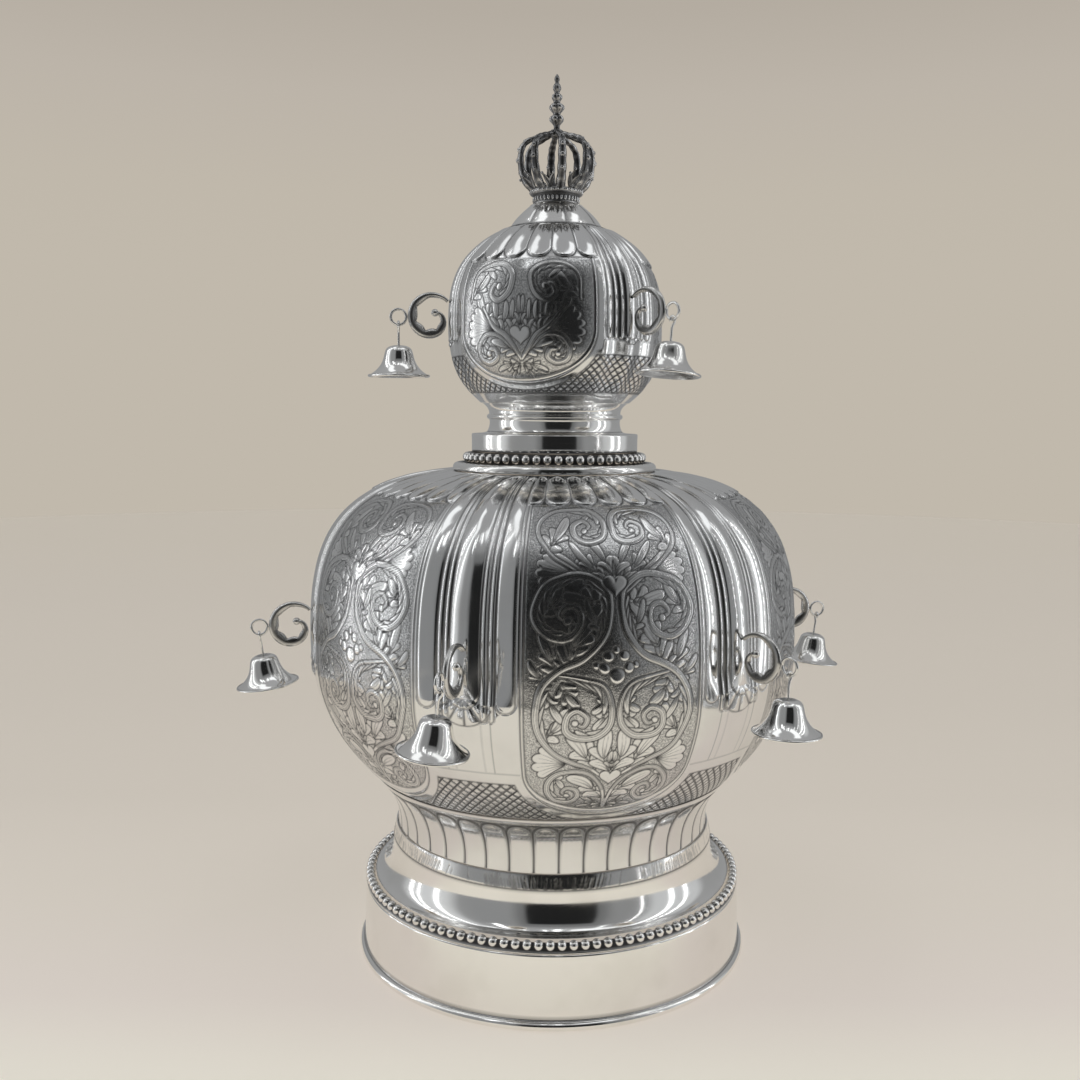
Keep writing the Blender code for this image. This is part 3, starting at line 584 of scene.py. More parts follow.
class Bulb:
    """The measures of one bulb's ornament, in millimetres at its widest radius."""

    def __init__(self, radius_at, low, high, level, **measures):
        self.z = np.linspace(low, high, 3001)
        self.r = radius_at(self.z)
        self.t = np.concatenate([[0], np.cumsum(np.hypot(np.diff(self.z), np.diff(self.r)))]) / MM
        self.t -= np.interp(level, self.z, self.t)
        self.out = np.gradient(self.z, self.t * MM)
        self.up = -np.gradient(self.r, self.t * MM)
        self.radius_mm = float(radius_at(np.array(level))) / MM
        self.__dict__.update(measures)

    def place(self, around, t, relief):
        angle = around / self.radius_mm
        relief = relief * MM
        r = np.interp(t, self.t, self.r) + relief * np.interp(t, self.t, self.out)
        z = np.interp(t, self.t, self.z) + relief * np.interp(t, self.t, self.up)
        return around_axis(r, angle, z)

    def relief(self, around, t):
        """(relief, oxide, ground) at places given by the distance round the bulb and up it."""
        sector = 2 * math.pi * self.radius_mm / self.panels
        around = around - self.start
        u = around - sector * np.round(around / sector)
        s = np.abs(np.abs(u) - sector / 2)
        relief, oxide_and_shade, ground = np.zeros_like(u), np.zeros_like(u), np.zeros_like(u)

        # chased field
        wobble = 0.22 * np.sin(0.31 * t + 0.17 * u) + 0.15 * np.sin(0.57 * u - 0.23 * t)
        drawn = self.canvas.sample(u + wobble * np.sign(u), t + 0.15 * np.sin(0.45 * u + 0.11 * t))
        field = ellipse_depth(u, t, self.field_wide, self.side, self.field_drop)
        frame_depth = ellipse_depth(u, t, self.line_wide, self.side, self.line_drop)
        inside = smooth(field, -0.15, 0.15)
        relief += inside * (drawn[0] - 0.10)
        oxide_and_shade += inside * np.clip(1.25 * drawn[1], 0, 1)
        ground += inside * drawn[2]

        # ribs between the panels
        z = np.interp(t, self.t, self.z)
        share = np.clip((z - self.rib_foot) / self.rib_grow, 0, 1)
        share = share * np.clip((self.rib_top - z) / self.rib_fade, 0, 1)
        zone = (np.abs(u) > self.panel_half).astype(float)
        half_zone = sector / 2 - self.panel_half
        valley = -1.3 * (0.5 - 0.5 * np.cos(2 * math.pi * np.clip(s / half_zone, 0, 1)))
        relief += zone * share * (valley + 0.3 * np.clip(1 - s / (half_zone / 2), 0, 1))
        for middle, half, foot, crown in self.strips:
            depth, form = strip(s - middle, half, t, foot, crown)
            on = zone * smooth(depth, -0.1, 0.25)
            relief += on * form
            line = ridge(depth, 0.34, 0.05) * zone
            oxide_and_shade = np.maximum(oxide_and_shade, 0.75 * line)
            relief -= 0.25 * line
        shell = np.hypot(s, t - self.shell_top)
        turn = np.arctan2(s, self.shell_top - t)
        opening = zone * (t < self.shell_top) * (turn < 1.15)
        on_shell = opening * smooth(self.shell_reach - shell, -0.1, 0.4)
        rays = np.abs(np.sin(turn * 5.5))
        relief += on_shell * (0.55 * rays * smooth(shell, 1.0, 5.0) - 0.1)
        oxide_and_shade = np.maximum(oxide_and_shade, on_shell * 0.8 * (1 - smooth(rays, 0.05, 0.45)))
        oxide_and_shade = np.maximum(oxide_and_shade, 0.8 * ridge(shell, 0.35, self.shell_reach) * opening)
        for line_at in self.engraved:
            line = ridge(s, 0.22, line_at) * zone * (t < self.strips[0][2]) * (t > self.band_top)
            oxide_and_shade = np.maximum(oxide_and_shade, 0.5 * line)

        # frame round the field, and the band under the ribs
        outside = frame_depth < 0
        for edge, strength in ((frame_depth, 0.9), (field, 0.8)):
            line = ridge(edge, 0.34) * (np.abs(u) < self.line_wide + 1.2)
            oxide_and_shade = np.maximum(oxide_and_shade, strength * line)
            relief -= 0.12 * line
        border = (frame_depth > 0) & (field < 0)
        across = np.clip(frame_depth / (frame_depth - field + 1e-6), 0, 1)
        relief = np.where(border, relief + 0.16 * np.sin(math.pi * across), relief)
        oxide_and_shade = np.maximum(oxide_and_shade, 0.6 * ridge(t, 0.25, self.band_top) * zone)

        # lattice
        pillow, dark = lattice(u - np.sign(u) * sector / 2, t, sector / self.lattice_count)
        rim = np.minimum(-frame_depth - self.frame, np.minimum(self.lattice_top - t, t - self.lattice_foot))
        on = smooth(rim, 0.0, 0.3) * outside
        relief += on * (pillow - 0.12)
        oxide_and_shade = np.maximum(oxide_and_shade * (1 - on), on * dark)
        ground = np.maximum(ground, 0.35 * on)
        oxide_and_shade = np.maximum(oxide_and_shade, 0.85 * ridge(rim, 0.36) * outside)

        # petals under the neck
        width = 2 * math.pi * self.radius_mm / self.petals
        x = around / width - 0.5 * ((self.petals // self.panels) % 2 == 0)
        x = (x - np.round(x)) * width
        depth, form = strip(x, width / 2, t, self.petal_tip, 0.75)
        over = smooth(t - self.petal_tip, -0.5, 1.0) * smooth(self.panel_half - np.abs(u), 0.0, 1.2)
        relief = relief * (1 - over) + over * (-0.35 + smooth(depth, -0.1, 0.5) * (0.35 + form))
        oxide_and_shade = oxide_and_shade * (1 - over) + over * 0.95 * ridge(depth, 0.5, -0.1)
        ground = ground * (1 - over)

        ends = smooth(self.t[-1] - t, 0.3, 5.0) * smooth(t - self.t[0], 0.2, 1.2)
        hammer = 0.035 * np.sin(around * 0.42 + 1.3 * np.sin(t * 0.13))
        hammer = hammer * np.sin(t * 0.37 + np.sin(around * 0.11))
        return (relief + hammer) * ends, np.clip(oxide_and_shade, 0, 1) * ends, np.clip(ground, 0, 1) * ends


def steps(foot, cell, spans):
    """Row heights from the foot up. A span is (its upper end, its step in cells)."""
    rows = []
    low = foot
    for high, size in spans:
        rows.append(np.linspace(low, high, max(int((high - low) / (size * cell * COARSE)), 2) + 1)[:-1])
        low = high
    return np.concatenate([*rows, [low]])


def inner_wall(radius_at, low, high, levels, columns):
    """The inside of a bulb with the rims that join it to the outside."""
    z = np.linspace(low, high, levels)
    r = radius_at(z)
    slope = np.gradient(r, z)
    length = np.hypot(1, slope)
    inside = np.stack([r - 2 * WALL / length, np.clip(z + 2 * WALL * slope / length, low, high)], -1)
    return round_grid(np.vstack([[(r[0], low)], inside, [(r[-1], high)]]), columns, flip=True)


# Materials


class Graph:
    """Short names for adding nodes to a tree."""

    def __init__(self, tree):
        self.tree = tree
        tree.nodes.clear()

    def node(self, kind, inputs=None, **settings):
        """A node with these settings. Its inputs take a value each, or the output of another node."""
        node = self.tree.nodes.new(kind)
        for key, value in settings.items():
            setattr(node, key, value)
        for key, value in (inputs or {}).items():
            if isinstance(value, bpy.types.NodeSocket):
                self.tree.links.new(value, node.inputs[key])
            else:
                node.inputs[key].default_value = value
        return node

    def math(self, operation, a, b=0.0, clamp=False):
        return self.node("ShaderNodeMath", {0: a, 1: b}, operation=operation, use_clamp=clamp).outputs[0]

    def times(self, a, b):
        return self.math("MULTIPLY", a, b)

    def mix(self, share, a, b):
        return self.node("ShaderNodeMix", {"Factor": share, 6: a, 7: b}, data_type="RGBA").outputs[2]

    def noise(self, scale, detail, stretch=(1.0, 1.0, 1.0)):
        coords = self.node("ShaderNodeTexCoord").outputs["Object"]
        coords = self.node("ShaderNodeMapping", {"Vector": coords, "Scale": stretch}).outputs[0]
        inputs = {"Scale": scale, "Detail": detail, "Vector": coords}
        return self.node("ShaderNodeTexNoise", inputs).outputs["Fac"]

    def mask(self, name):
        return self.node("ShaderNodeAttribute", attribute_type="GEOMETRY", attribute_name=name).outputs["Fac"]

    def step(self, value, low, high):
        inputs = {"Value": value, "From Min": low, "From Max": high}
        return self.node("ShaderNodeMapRange", inputs, interpolation_type="SMOOTHSTEP").outputs["Result"]


def silver(name, bright, dull, roughness, dull_share=0.35):
    """Silver with fine polishing marks, faint tarnish, dark chased lines, painted shade and a matted ground.
    """
    material = bpy.data.materials.new(name)
    material.use_nodes = True
    g = Graph(material.node_tree)
    oxide_and_shade, ground = g.mask("oxide_and_shade"), g.mask("ground")
    cloud = g.step(g.noise(42.0, 5.0), 0.42, 0.72)
    grain = g.times(ground, g.step(g.noise(1900.0, 2.0), 0.36, 0.62))
    marks = g.noise(1.0, 3.0, (60.0, 60.0, 2600.0))

    colour = g.mix(g.times(cloud, dull_share), (*bright, 1), (*dull, 1))
    for mask, share, tone in (
        (ground, 0.45, (0.62, 0.62, 0.61, 1)),
        (grain, 0.62, (0.16, 0.16, 0.165, 1)),
        # near black where oxide lies in the chased lines, and where shade is painted under the beads and on
        # the coronet's arches and leaves
        (oxide_and_shade, 0.95, (0.045, 0.045, 0.048, 1)),
    ):
        colour = g.mix(g.times(mask, share), colour, tone)
    rough = roughness
    for mask, share in ((marks, 0.08), (cloud, 0.05), (ground, 0.07), (oxide_and_shade, 0.30)):
        rough = g.math("ADD", g.times(mask, share), rough, clamp=True)
    bump = {}
    for strength, depth, height in (
        (0.5, 0.00012, g.noise(38.0, 2.0)),
        (0.7, 0.00004, g.times(g.noise(1500.0, 1.0), ground)),
        (0.25, 0.000006, marks),
    ):
        inputs = {"Strength": strength, "Distance": depth, "Height": height, **bump}
        bump = {"Normal": g.node("ShaderNodeBump", inputs).outputs[0]}
    inputs = {"Metallic": 1.0, "Base Color": colour, "Roughness": rough, **bump}
    shader = g.node("ShaderNodeBsdfPrincipled", inputs)
    g.node("ShaderNodeOutputMaterial", {"Surface": shader.outputs[0]})
    return material


PLAIN = silver("plain_silver_finish", (0.93, 0.92, 0.90), (0.80, 0.78, 0.74), 0.05)
BEADS = silver("bead_silver_finish", (0.88, 0.87, 0.85), (0.66, 0.64, 0.61), 0.12)
CHASED = silver("chased_silver_finish", (0.84, 0.835, 0.825), (0.70, 0.69, 0.67), 0.07)
# Painted shade: the coronet and finial get a much darker silver than the rest of the crown.
DARK = silver("shaded_dark_silver", (0.68, 0.67, 0.66), (0.12, 0.117, 0.115), 0.10, dull_share=0.85)
BRACKET = silver("bracket_silver_finish", (0.72, 0.71, 0.69), (0.34, 0.33, 0.32), 0.14, dull_share=0.7)
BELL = silver("bell_silver_finish", (0.92, 0.91, 0.89), (0.76, 0.74, 0.70), 0.05)
WIRE = silver("wire_silver_finish", (0.86, 0.85, 0.83), (0.55, 0.54, 0.52), 0.12)


# Pieces


def add_patches(name, bulb, panel_cells, panel_spans, rib_cells, rib_spans):
    """The panels of a bulb and the ribs between them, with finer cells where they face the camera."""
    sector = 2 * math.pi * bulb.radius_mm / bulb.panels
    half = bulb.panel_half
    for i in range(bulb.panels):
        middle = i * sector + bulb.start
        end = middle + sector - half
        for kind, low, high, width, cell, spans in (
            ("panel", middle - half, middle + half, 2 * half, panel_cells[i], panel_spans),
            ("ribs", middle + half, end, sector - 2 * half, rib_cells[i], rib_spans),
        ):
            columns = int(width / (cell * COARSE)) + 1
            around, t = np.meshgrid(np.linspace(low, high, columns), steps(bulb.t[0], cell, spans))
            relief, oxide_and_shade, ground = bulb.relief(around, t)
            patch = grid(bulb.place(around, t, relief), oxide_and_shade=oxide_and_shade, ground=ground)
            mesh = mesh_from_grids(f"{name}_{kind}_{i + 1}", [patch])
            add_piece(f"{name}_{kind}_{i + 1}", mesh, CHASED, f"{name}_bulb")


def add_bulbs():
    main = Bulb(
        bulb_radius, BULB_FOOT, BULB_TOP, BULB_LEVEL, canvas=main_ornament(), start=0.0, panels=6,
        panel_half=37.3, line_wide=36.4, line_drop=27.3, side=-30.0, field_wide=35.1, field_drop=22.2,
        frame=4.6, lattice_top=-36.0, lattice_foot=-62.0, lattice_count=25,
        strips=((0, 6.2, -2, 0.45), (7.75, 1.25, -7, 0.5), (10.6, 1.25, -7, 0.5), (16.2, 3.9, -3, 0.25)),
        rib_foot=0.1400, rib_grow=0.0080, rib_top=0.2226, rib_fade=0.0200, shell_top=3.0, shell_reach=12.0,
        engraved=(6.5, 10.2), band_top=-30.3, petals=48, petal_tip=82.0,
    )
    top = main.t[-1]
    panel_spans = ((84.0, 1), (112.0, 2.2), (top, 3))
    rib_spans = ((-29.5, 1), (-10.5, 4), (5.0, 1), (74.0, 5), (86.0, 1.5), (top, 3))
    rib_cells = (0.5, 0.9, 0.9, 0.9, 0.5, 0.5)
    add_patches("main", main, (0.352, 0.62, 0.95, 0.95, 0.95, 0.53), panel_spans, rib_cells, rib_spans)
    mesh = mesh_from_grids("main_bulb_inside", [inner_wall(bulb_radius, BULB_FOOT, BULB_TOP, 30, 96)])
    add_piece("main_bulb_inside", mesh, PLAIN, "main_bulb")

    upper = Bulb(
        upper_radius, UPPER_FOOT, UPPER_TOP, UPPER_LEVEL, canvas=upper_ornament(),
        start=-UPPER_RADIUS / MM * math.pi / 6, panels=3,
        panel_half=35.5, line_wide=33.0, line_drop=24.5, side=-2.0, field_wide=31.6, field_drop=21.8,
        frame=3.0, lattice_top=-12.8, lattice_foot=-31.0, lattice_count=26,
        strips=((0.0, 3.9, -6.0, 0.35), (5.4, 1.3, -6.0, 0.4), (8.2, 1.3, -6.0, 0.4), (11.7, 1.8, -6.0, 0.3)),
        rib_foot=0.2535, rib_grow=0.0120, rib_top=0.3306, rib_fade=0.0120, shell_top=-3.0, shell_reach=5.0,
        engraved=(), band_top=-6.6, petals=24, petal_tip=28.0,
    )
    top = upper.t[-1]
    rib_spans = ((-4.0, 1), (26.0, 4), (top, 1.6))
    add_patches("upper", upper, (0.385, 0.75, 0.75), ((30.0, 1), (top, 1.6)), (0.48, 0.7, 0.48), rib_spans)
    flange = round_grid([(0.0236, 0.3305), (0.0206, 0.3305), (0.0206, 0.3294), (0.0226, 0.3294)], 64)
    wall = inner_wall(upper_radius, UPPER_FOOT, UPPER_TOP, 24, 64)
    mesh = mesh_from_grids("upper_bulb_inside", [wall, flange])
    add_piece("upper_bulb_inside", mesh, PLAIN, "upper_bulb")


def add_base():
    edge, centre = 0.0019, (0.0894, 0.0019 * math.cos(math.radians(18)))
    outline = [
        *arc(centre, edge, math.radians(-72), math.radians(100), 14),
        (0.0891, 0.0045), (0.0890, 0.0060), (0.0886, 0.0160), (0.0882, 0.0290), (0.0880, 0.0305),
        (0.0878, 0.0312), (0.0870, 0.0312), (0.0869, 0.0305), (0.0879, 0.0038),
        *arc(centre, edge, math.pi, math.radians(252), 8),
    ]
    oxide_and_shade = np.zeros(len(outline))
    oxide_and_shade[12:15] = 0.5
    add_fine("base_band", [round_grid(outline, 224, oxide_and_shade, closed_along=True)], PLAIN)

    outline = [(0.0842, 0.0316), (0.0880, 0.0316), (0.0881, 0.0320), (0.0878, 0.0324), (0.0872, 0.0330),
               (0.0872, 0.0348), (0.0866, 0.0356), (0.0856, 0.0356), (0.0846, 0.0346)]
    strand = round_grid(outline, 160, (0, 0, 0.1, 0.7, 1, 1, 1, 1, 0.9), closed_along=True)
    level = np.linspace(-1, 1, 8)[:, None]
    # Painted shade: each bead is darkened toward its underside, with a faint dark rim at its top.
    under = np.clip(0.9 * (np.abs(level) - 0.35) - 0.5 * (level > 0), 0, 1)
    beads = bead_ring(114, 0.0862, 0.0345, 0.00218, 8, 12, oxide_and_shade=under)
    add_fine("base_beading", [strand, *beads], BEADS)
    add_foot()


def add_foot():
    """The cove, its inner wall, and the engraved band on top with its uneven upright strokes."""
    foot, band_foot, top, radius = (0.0826, 0.0362), 0.0528, 0.0590, 0.0752
    turns = np.linspace(0, math.pi / 2, 30)

    def cove(inner, flare, angles):
        return [(inner + flare * (1 - math.sin(a)), band_foot - 0.0166 * math.cos(a)) for a in angles]

    outer = round_grid([foot, *cove(radius, 0.0085, turns)], 192, [0.3, 0.35, 0.1] + [0.0] * 26 + [0.2, 0.9])
    rng = np.random.default_rng(5)
    rows, columns = 10, 1150
    hatch = np.zeros((rows, columns))
    at = 0
    while at < columns:
        run = int(rng.integers(10, 60))
        dense = rng.random() < 0.55
        slant = int(rng.integers(-1, 2))
        for k in range(run):
            if dense and rng.random() < 0.62 or rng.random() < 0.06:
                low = int(rng.integers(0, 3))
                high = int(rng.integers(6, rows))
                for j in range(low, high):
                    hatch[j, (at + k + slant * j // 2) % columns] = rng.uniform(0.35, 0.9)
        at += run
    hatch[[0, -1]] = 0.8
    z = np.linspace(band_foot, top, rows)[:, None]
    r = radius - 0.0014 * (z - band_foot) / 0.0062 - 0.00008 * hatch
    ground = np.full((rows, columns), 0.1)
    band = grid(around_axis(r, even_turns(columns), z), closed_across=True, oxide_and_shade=0.55 * hatch, ground=ground)
    inside = round_grid([(0.0738, top), (0.0727, top), *cove(0.0741, 0.0077, turns[::-3]), foot], 96)
    add_fine("foot", [outer, band, inside], PLAIN)


def add_waist():
    columns = GADROONS * (6 if COARSE > 1 else 12)
    levels = np.linspace(WAIST_FOOT, WAIST_TOP, int(40 / COARSE))
    a, z = np.meshgrid(GADROON_TURN + even_turns(columns), levels)
    pitch = 2 * math.pi / GADROONS
    x = (a - GADROON_TURN) / pitch
    x = (x - np.round(x)) * pitch * GADROON_RADIUS
    half = pitch * GADROON_RADIUS / 2
    arch = GADROON_TOP - half * GADROON_ARCH
    depth = np.where(z < arch, half - np.abs(x), half - np.hypot(x, (z - arch) / GADROON_ARCH)) / MM
    over = z - GADROON_TOP
    ring = smooth(over, 0.0002, 0.0008)
    relief = -0.0006 + 0.0006 * smooth(depth, 0.0, 0.9) + 0.00012 * np.clip(1 - (x / half) ** 2, 0, 1)
    relief = relief * (1 - ring) + ring * 0.0002 * np.sin(math.pi * np.clip(over / 0.0040, 0, 1))
    line = 0.42 + 0.62 * ((z - WAIST_FOOT) / (GADROON_TOP - WAIST_FOOT)) ** 2
    oxide_and_shade = ridge(depth, line, 0.10) * (1 - ring)
    oxide_and_shade = np.maximum(oxide_and_shade, 0.7 * ridge(over, 0.0003, 0.0004))
    oxide_and_shade = np.maximum(oxide_and_shade, 0.8 * ridge(z, 0.0004, WAIST_TOP))
    blend = np.clip(over / (WAIST_TOP - GADROON_TOP), 0, 1)
    top = float(bulb_radius(np.array(WAIST_TOP + GAP)))
    r = waist_radius(np.minimum(z, GADROON_TOP)) * (1 - blend) + top * blend + relief
    outer = grid(around_axis(r, a, z), closed_across=True, oxide_and_shade=oxide_and_shade)
    levels = np.linspace(WAIST_FOOT, WAIST_TOP, 8)
    inside = [(waist_radius(min(v, GADROON_TOP)) - 0.0017, v) for v in levels]
    wall = round_grid([(waist_radius(WAIST_FOOT), WAIST_FOOT), *inside, (top, WAIST_TOP)], 96, flip=True)
    add_fine("waist", [outer, wall], CHASED)


def add_neck():
    outline = [(0.0424, 0.2229), *arc((0.0446, 0.2242), 0.0022, -0.65, 1.6, 12), (0.0424, 0.2264)]
    ring = round_grid(outline, 128, [0.9, 0.9, 0.5] + [0] * 9 + [0.5, 0.9], closed_along=True)
    add_fine("neck_moulding", [ring], PLAIN)

    outline = [(0.0381, 0.2267), (0.0406, 0.2267), (0.0410, 0.2288), (0.0406, 0.2308), (0.0381, 0.2309)]
    strand = round_grid(outline, 128, (0.9, 1, 1, 1, 0.9), closed_along=True)
    beads = bead_ring(54, 0.0402, 0.22885, 0.00212, 8, 12, math.pi / 54)
    add_fine("neck_beading", [strand, *beads], BEADS)

    throat = ((0.0325, 0.2399), (0.0311, 0.2405), (0.0302, 0.2425), (0.0299, 0.2446), (0.0301, 0.2459))
    flare = ((0.0301, 0.2484), (0.0303, 0.2498), (0.0311, 0.2514), (0.0324, 0.2527), (0.0332, 0.2532))
    outline = [
        (0.0378, 0.2313), (0.0381, 0.2316), (0.0381, 0.2340), (0.0381, 0.2366), (0.0382, 0.2389),
        (0.0380, 0.2394), (0.0372, 0.2395), (0.0345, 0.2396), *spline(throat, 5),
        *arc((0.0300, 0.2472), 0.0012, -1.3, 1.3, 9), *spline(flare, 5),
        (0.0310, 0.2532), (0.0296, 0.2498), (0.0288, 0.2455), (0.0288, 0.2394), (0.0370, 0.2383),
        (0.0370, 0.2313),
    ]
    oxide_and_shade = np.zeros(len(outline))
    oxide_and_shade[6:8] = 0.25
    oxide_and_shade[12:14] = 0.6
    add_fine("neck", [round_grid(outline, 160, oxide_and_shade, closed_along=True)], PLAIN)


def add_cap():
    (wide, foot), (narrow, top) = (0.0214, 0.3309), (0.0118, 0.3414)
    columns = 160
    angles = even_turns(columns)
    part = np.linspace(0, 1, 26)[:, None]
    lobe = np.abs(np.sin(4 * angles))
    fade = np.clip(6 * part, 0, 1)
    r = wide + (narrow - wide) * part + 0.0010 * np.sin(math.pi * part) - 0.0007 * (1 - lobe**0.45) * fade
    oxide_and_shade = 0.75 * np.clip(1 - 4.0 * lobe, 0, 1) * fade
    oxide_and_shade[:2] = 0.7
    outer = grid(around_axis(r, angles, foot + (top - foot) * part), closed_across=True, oxide_and_shade=oxide_and_shade)
    inside = round_grid([(narrow, top), (0.0098, top), (0.0196, foot), (wide, foot)], columns)
    add_fine("cap", [outer, inside], PLAIN)


def add_coronet():
    outline = [(0.0092, 0.3417), (0.0104, 0.3417), (0.0107, 0.3421), (0.0103, 0.3426), (0.0102, 0.3452),
               (0.0106, 0.3458), (0.0116, 0.3462), (0.0119, 0.3472), (0.0116, 0.3481), (0.0100, 0.3483),
               (0.0092, 0.3480)]
    ring = round_grid(outline, 96, (0.8, 0.5, 0.2, 0.9, 0.9, 0.9, 0.5, 0.3, 0.3, 0.6, 0.9), closed_along=True)
    hub = [(0.0002, 0.3712), (0.0024, 0.3714), (0.0028, 0.3726), (0.0022, 0.3738), (0.0026, 0.3745),
           (0.0014, 0.3752), (0.0001, 0.3752)]
    grids = [ring, round_grid(hub, 24, (0.9, 0.6, 0.2, 0.9, 0.3, 0.6, 0.6))]
    grids += bead_ring(34, 0.0113, 0.3472, 0.00095, 6, 8)
    grids += bead_ring(34, 0.01005, 0.3439, 0.00072, 6, 8, stretch=2.0)
    points = ((0.0098, 0.3484), (0.0117, 0.3492), (0.0142, 0.3522), (0.0158, 0.3570), (0.0162, 0.3624),
              (0.0154, 0.3666), (0.0127, 0.3695), (0.0089, 0.3710), (0.0052, 0.3722), (0.0024, 0.3734))
    path = spline(points, 6)
    share = np.linspace(0, 1, len(path))[:, None]
    width = 0.0021 * (1 - 0.52 * share[:, 0]) + 0.0003 * np.abs(np.sin(share[:, 0] * 26))
    # Painted shade round each arch and leaf: four of its eight sides are darkened, and the arches also get a
    # ripple along their length.
    shaded_sides = np.array([0.4, 0.9, 1.0, 0.9, 0.4, 0.25, 0.95, 0.25])
    balls = ((10, 0.0009), (16, 0.0010), (22, 0.0013), (28, 0.0011), (35, 0.0010), (41, 0.0008), (47, 0.0007))
    up = np.array((0, 0, 1.0))
    for a in math.radians(-3.5) + even_turns(8):
        out, side = np.array((math.sin(a), -math.cos(a), 0)), np.array((math.cos(a), math.sin(a), 0))
        line = path[:, :1] * out + path[:, 1:] * up
        oxide_and_shade = np.clip(shaded_sides + 0.25 * np.cos(share * 52), 0, 1)
        grids.append(tube_grid(line, width, across=side, squash=0.75, oxide_and_shade=oxide_and_shade))
        for at, radius in balls:
            grids.append(ball_grid(line[at] + 0.0009 * out, radius, 6, 8))
        b = a + math.pi / 8
        out, side = np.array((math.sin(b), -math.cos(b), 0)), np.array((math.cos(b), math.sin(b), 0))
        for lean, tall in ((-1, 0.0046), (0, 0.0066), (1, 0.0046)):
            part = np.linspace(0, 1, 12)[:, None]
            line = out * (0.0112 + 0.0036 * part + 0.0012 * part**4) + side * (0.0026 * lean * part**1.6)
            line = line + up * (0.3484 + tall * part)
            leaf = 0.0013 * np.sin(math.pi * (0.2 + 0.74 * part[:, 0]))
            grids.append(tube_grid(line, leaf, across=side, squash=0.5, oxide_and_shade=shaded_sides))
            grids.append(ball_grid(line[-1], 0.0007, 6, 8))
    add_fine("coronet", grids, DARK)


def add_finial():
    points = ((0.0013, 0.3755), (0.0016, 0.3768), (0.0033, 0.3788), (0.0031, 0.3803), (0.0016, 0.3815),
              (0.0034, 0.3838), (0.0033, 0.3853), (0.0015, 0.3866), (0.0024, 0.3884), (0.0023, 0.3896),
              (0.0011, 0.3906), (0.0019, 0.3924), (0.0016, 0.3938), (0.0009, 0.3950), (0.0012, 0.3966),
              (0.0007, 0.3980), (0.0001, 0.3988))
    outline = spline(points, 5)
    r, z = outline[:, :1], outline[:, 1:]
    angles = even_turns(40)
    bulge = smooth(r, 0.0012, 0.0030)
    lobe = np.abs(np.cos(2.5 * angles + 120 * z))
    r = r * (1 - 0.34 * bulge * (1 - lobe**0.6))
    oxide_and_shade = np.clip(1.1 - 1.5 * lobe, 0, 1) * bulge + 0.6 * (1 - bulge)
    leaves = grid(around_axis(r, angles, z), closed_across=True, oxide_and_shade=oxide_and_shade)
    add_fine("finial", [leaves], DARK)


# Hanging groups


def scroll(part):
    turn = SCROLL_START - SCROLL_SWEEP * part
    reach = SCROLL_REACH * (1 - SCROLL_CLOSING * part**2)
    width = SCROLL_WIDTH * (0.8 + 0.9 * np.sin(math.pi * part))
    return turn, reach, width


def bracket_mesh():
    """A leafy scroll. Its local axes run outward from the bulb, sideways and up."""
    centre = np.array((SCROLL_CENTRE, -SCROLL_REACH * math.sin(SCROLL_START)))
    turn, reach, width = scroll(np.linspace(0, 1, 10))
    least = centre[0] + min((np.cos(turn) * (reach + side * width)).min() for side in (1, -1))
    part = np.linspace(0, 1, 96)[:, None]
    turn, reach, width = scroll(part)
    leafy = np.abs(np.sin(part * 24)) ** 0.7
    around = even_turns(14)
    inward = np.clip(-np.cos(around), 0, 1)
    size = width * (1.0 + inward * 0.85 * leafy * np.sin(math.pi * np.clip(1.15 * part, 0, 1)))
    across = reach + size * np.cos(around)
    outward = np.maximum(centre[0] - least + np.cos(turn) * across, 0)
    side = 0.5 * SCROLL_THICKNESS * np.sin(around) * np.clip(1.25 - 0.5 * part, 0, 1)
    co = np.stack([outward, side, centre[1] + np.sin(turn) * across], -1)
    oxide_and_shade = 0.8 * inward * (1 - leafy) + 0.5 * ridge(np.abs(np.sin(around)), 0.05, 1.0)
    ball = ball_grid(co[-1].mean(0), 0.0017, 8, 12)
    return mesh_from_grids("bracket_fine", [grid(co, closed_across=True, oxide_and_shade=oxide_and_shade), ball])


def loop_mesh():
    """The ring on a bracket, and where its centre is outward and up from the bracket's foot."""
    _, reach, width = scroll(SCROLL_START / SCROLL_SWEEP)
    outward = SCROLL_CENTRE + reach + width + GAP + LOOP_RADIUS + LOOP_WIRE
    up = -SCROLL_REACH * math.sin(SCROLL_START)
    a = even_turns(40)
    path = np.stack([outward + LOOP_RADIUS * np.cos(a), 0 * a, up + LOOP_RADIUS * np.sin(a)], -1)
    wire = tube_grid(path, LOOP_WIRE, closed=True, across=(0, 1, 0))
    return mesh_from_grids("loop_fine", [wire]), outward, up


def hook_mesh():
    """The wire hook in a loop, with the button and the clapper under it."""
    bend = LOOP_WIRE + GAP + HOOK_WIRE
    knot = LOOP_RADIUS - BELL_DROP - BELL_WALL - GAP
    clapper = knot - CLAPPER_DROP
    turns = np.linspace(math.radians(220), 0, 22)
    path = [(0, bend * math.cos(a), bend * math.sin(a)) for a in turns]
    path += [(0, bend * 0.9, -bend * 0.7), (0, bend * 0.3, -1.6 * bend), (0, 0, -2.4 * bend)]
    path += [(0, 0, knot * 0.6), (0, 0, knot + 0.0006)]
    wire = tube_grid(path, HOOK_WIRE)
    button = ball_grid((0, 0, knot - 0.0003), 0.0011, 6, 12, 0.6)
    stem = tube_grid([(0, 0, knot), (0, 0, clapper + CLAPPER_RADIUS * 0.8)], HOOK_WIRE * 0.9)
    ball = ball_grid((0, 0, clapper), CLAPPER_RADIUS, 10, 16)
    return mesh_from_grids("hook_fine", [wire, button, stem, ball])


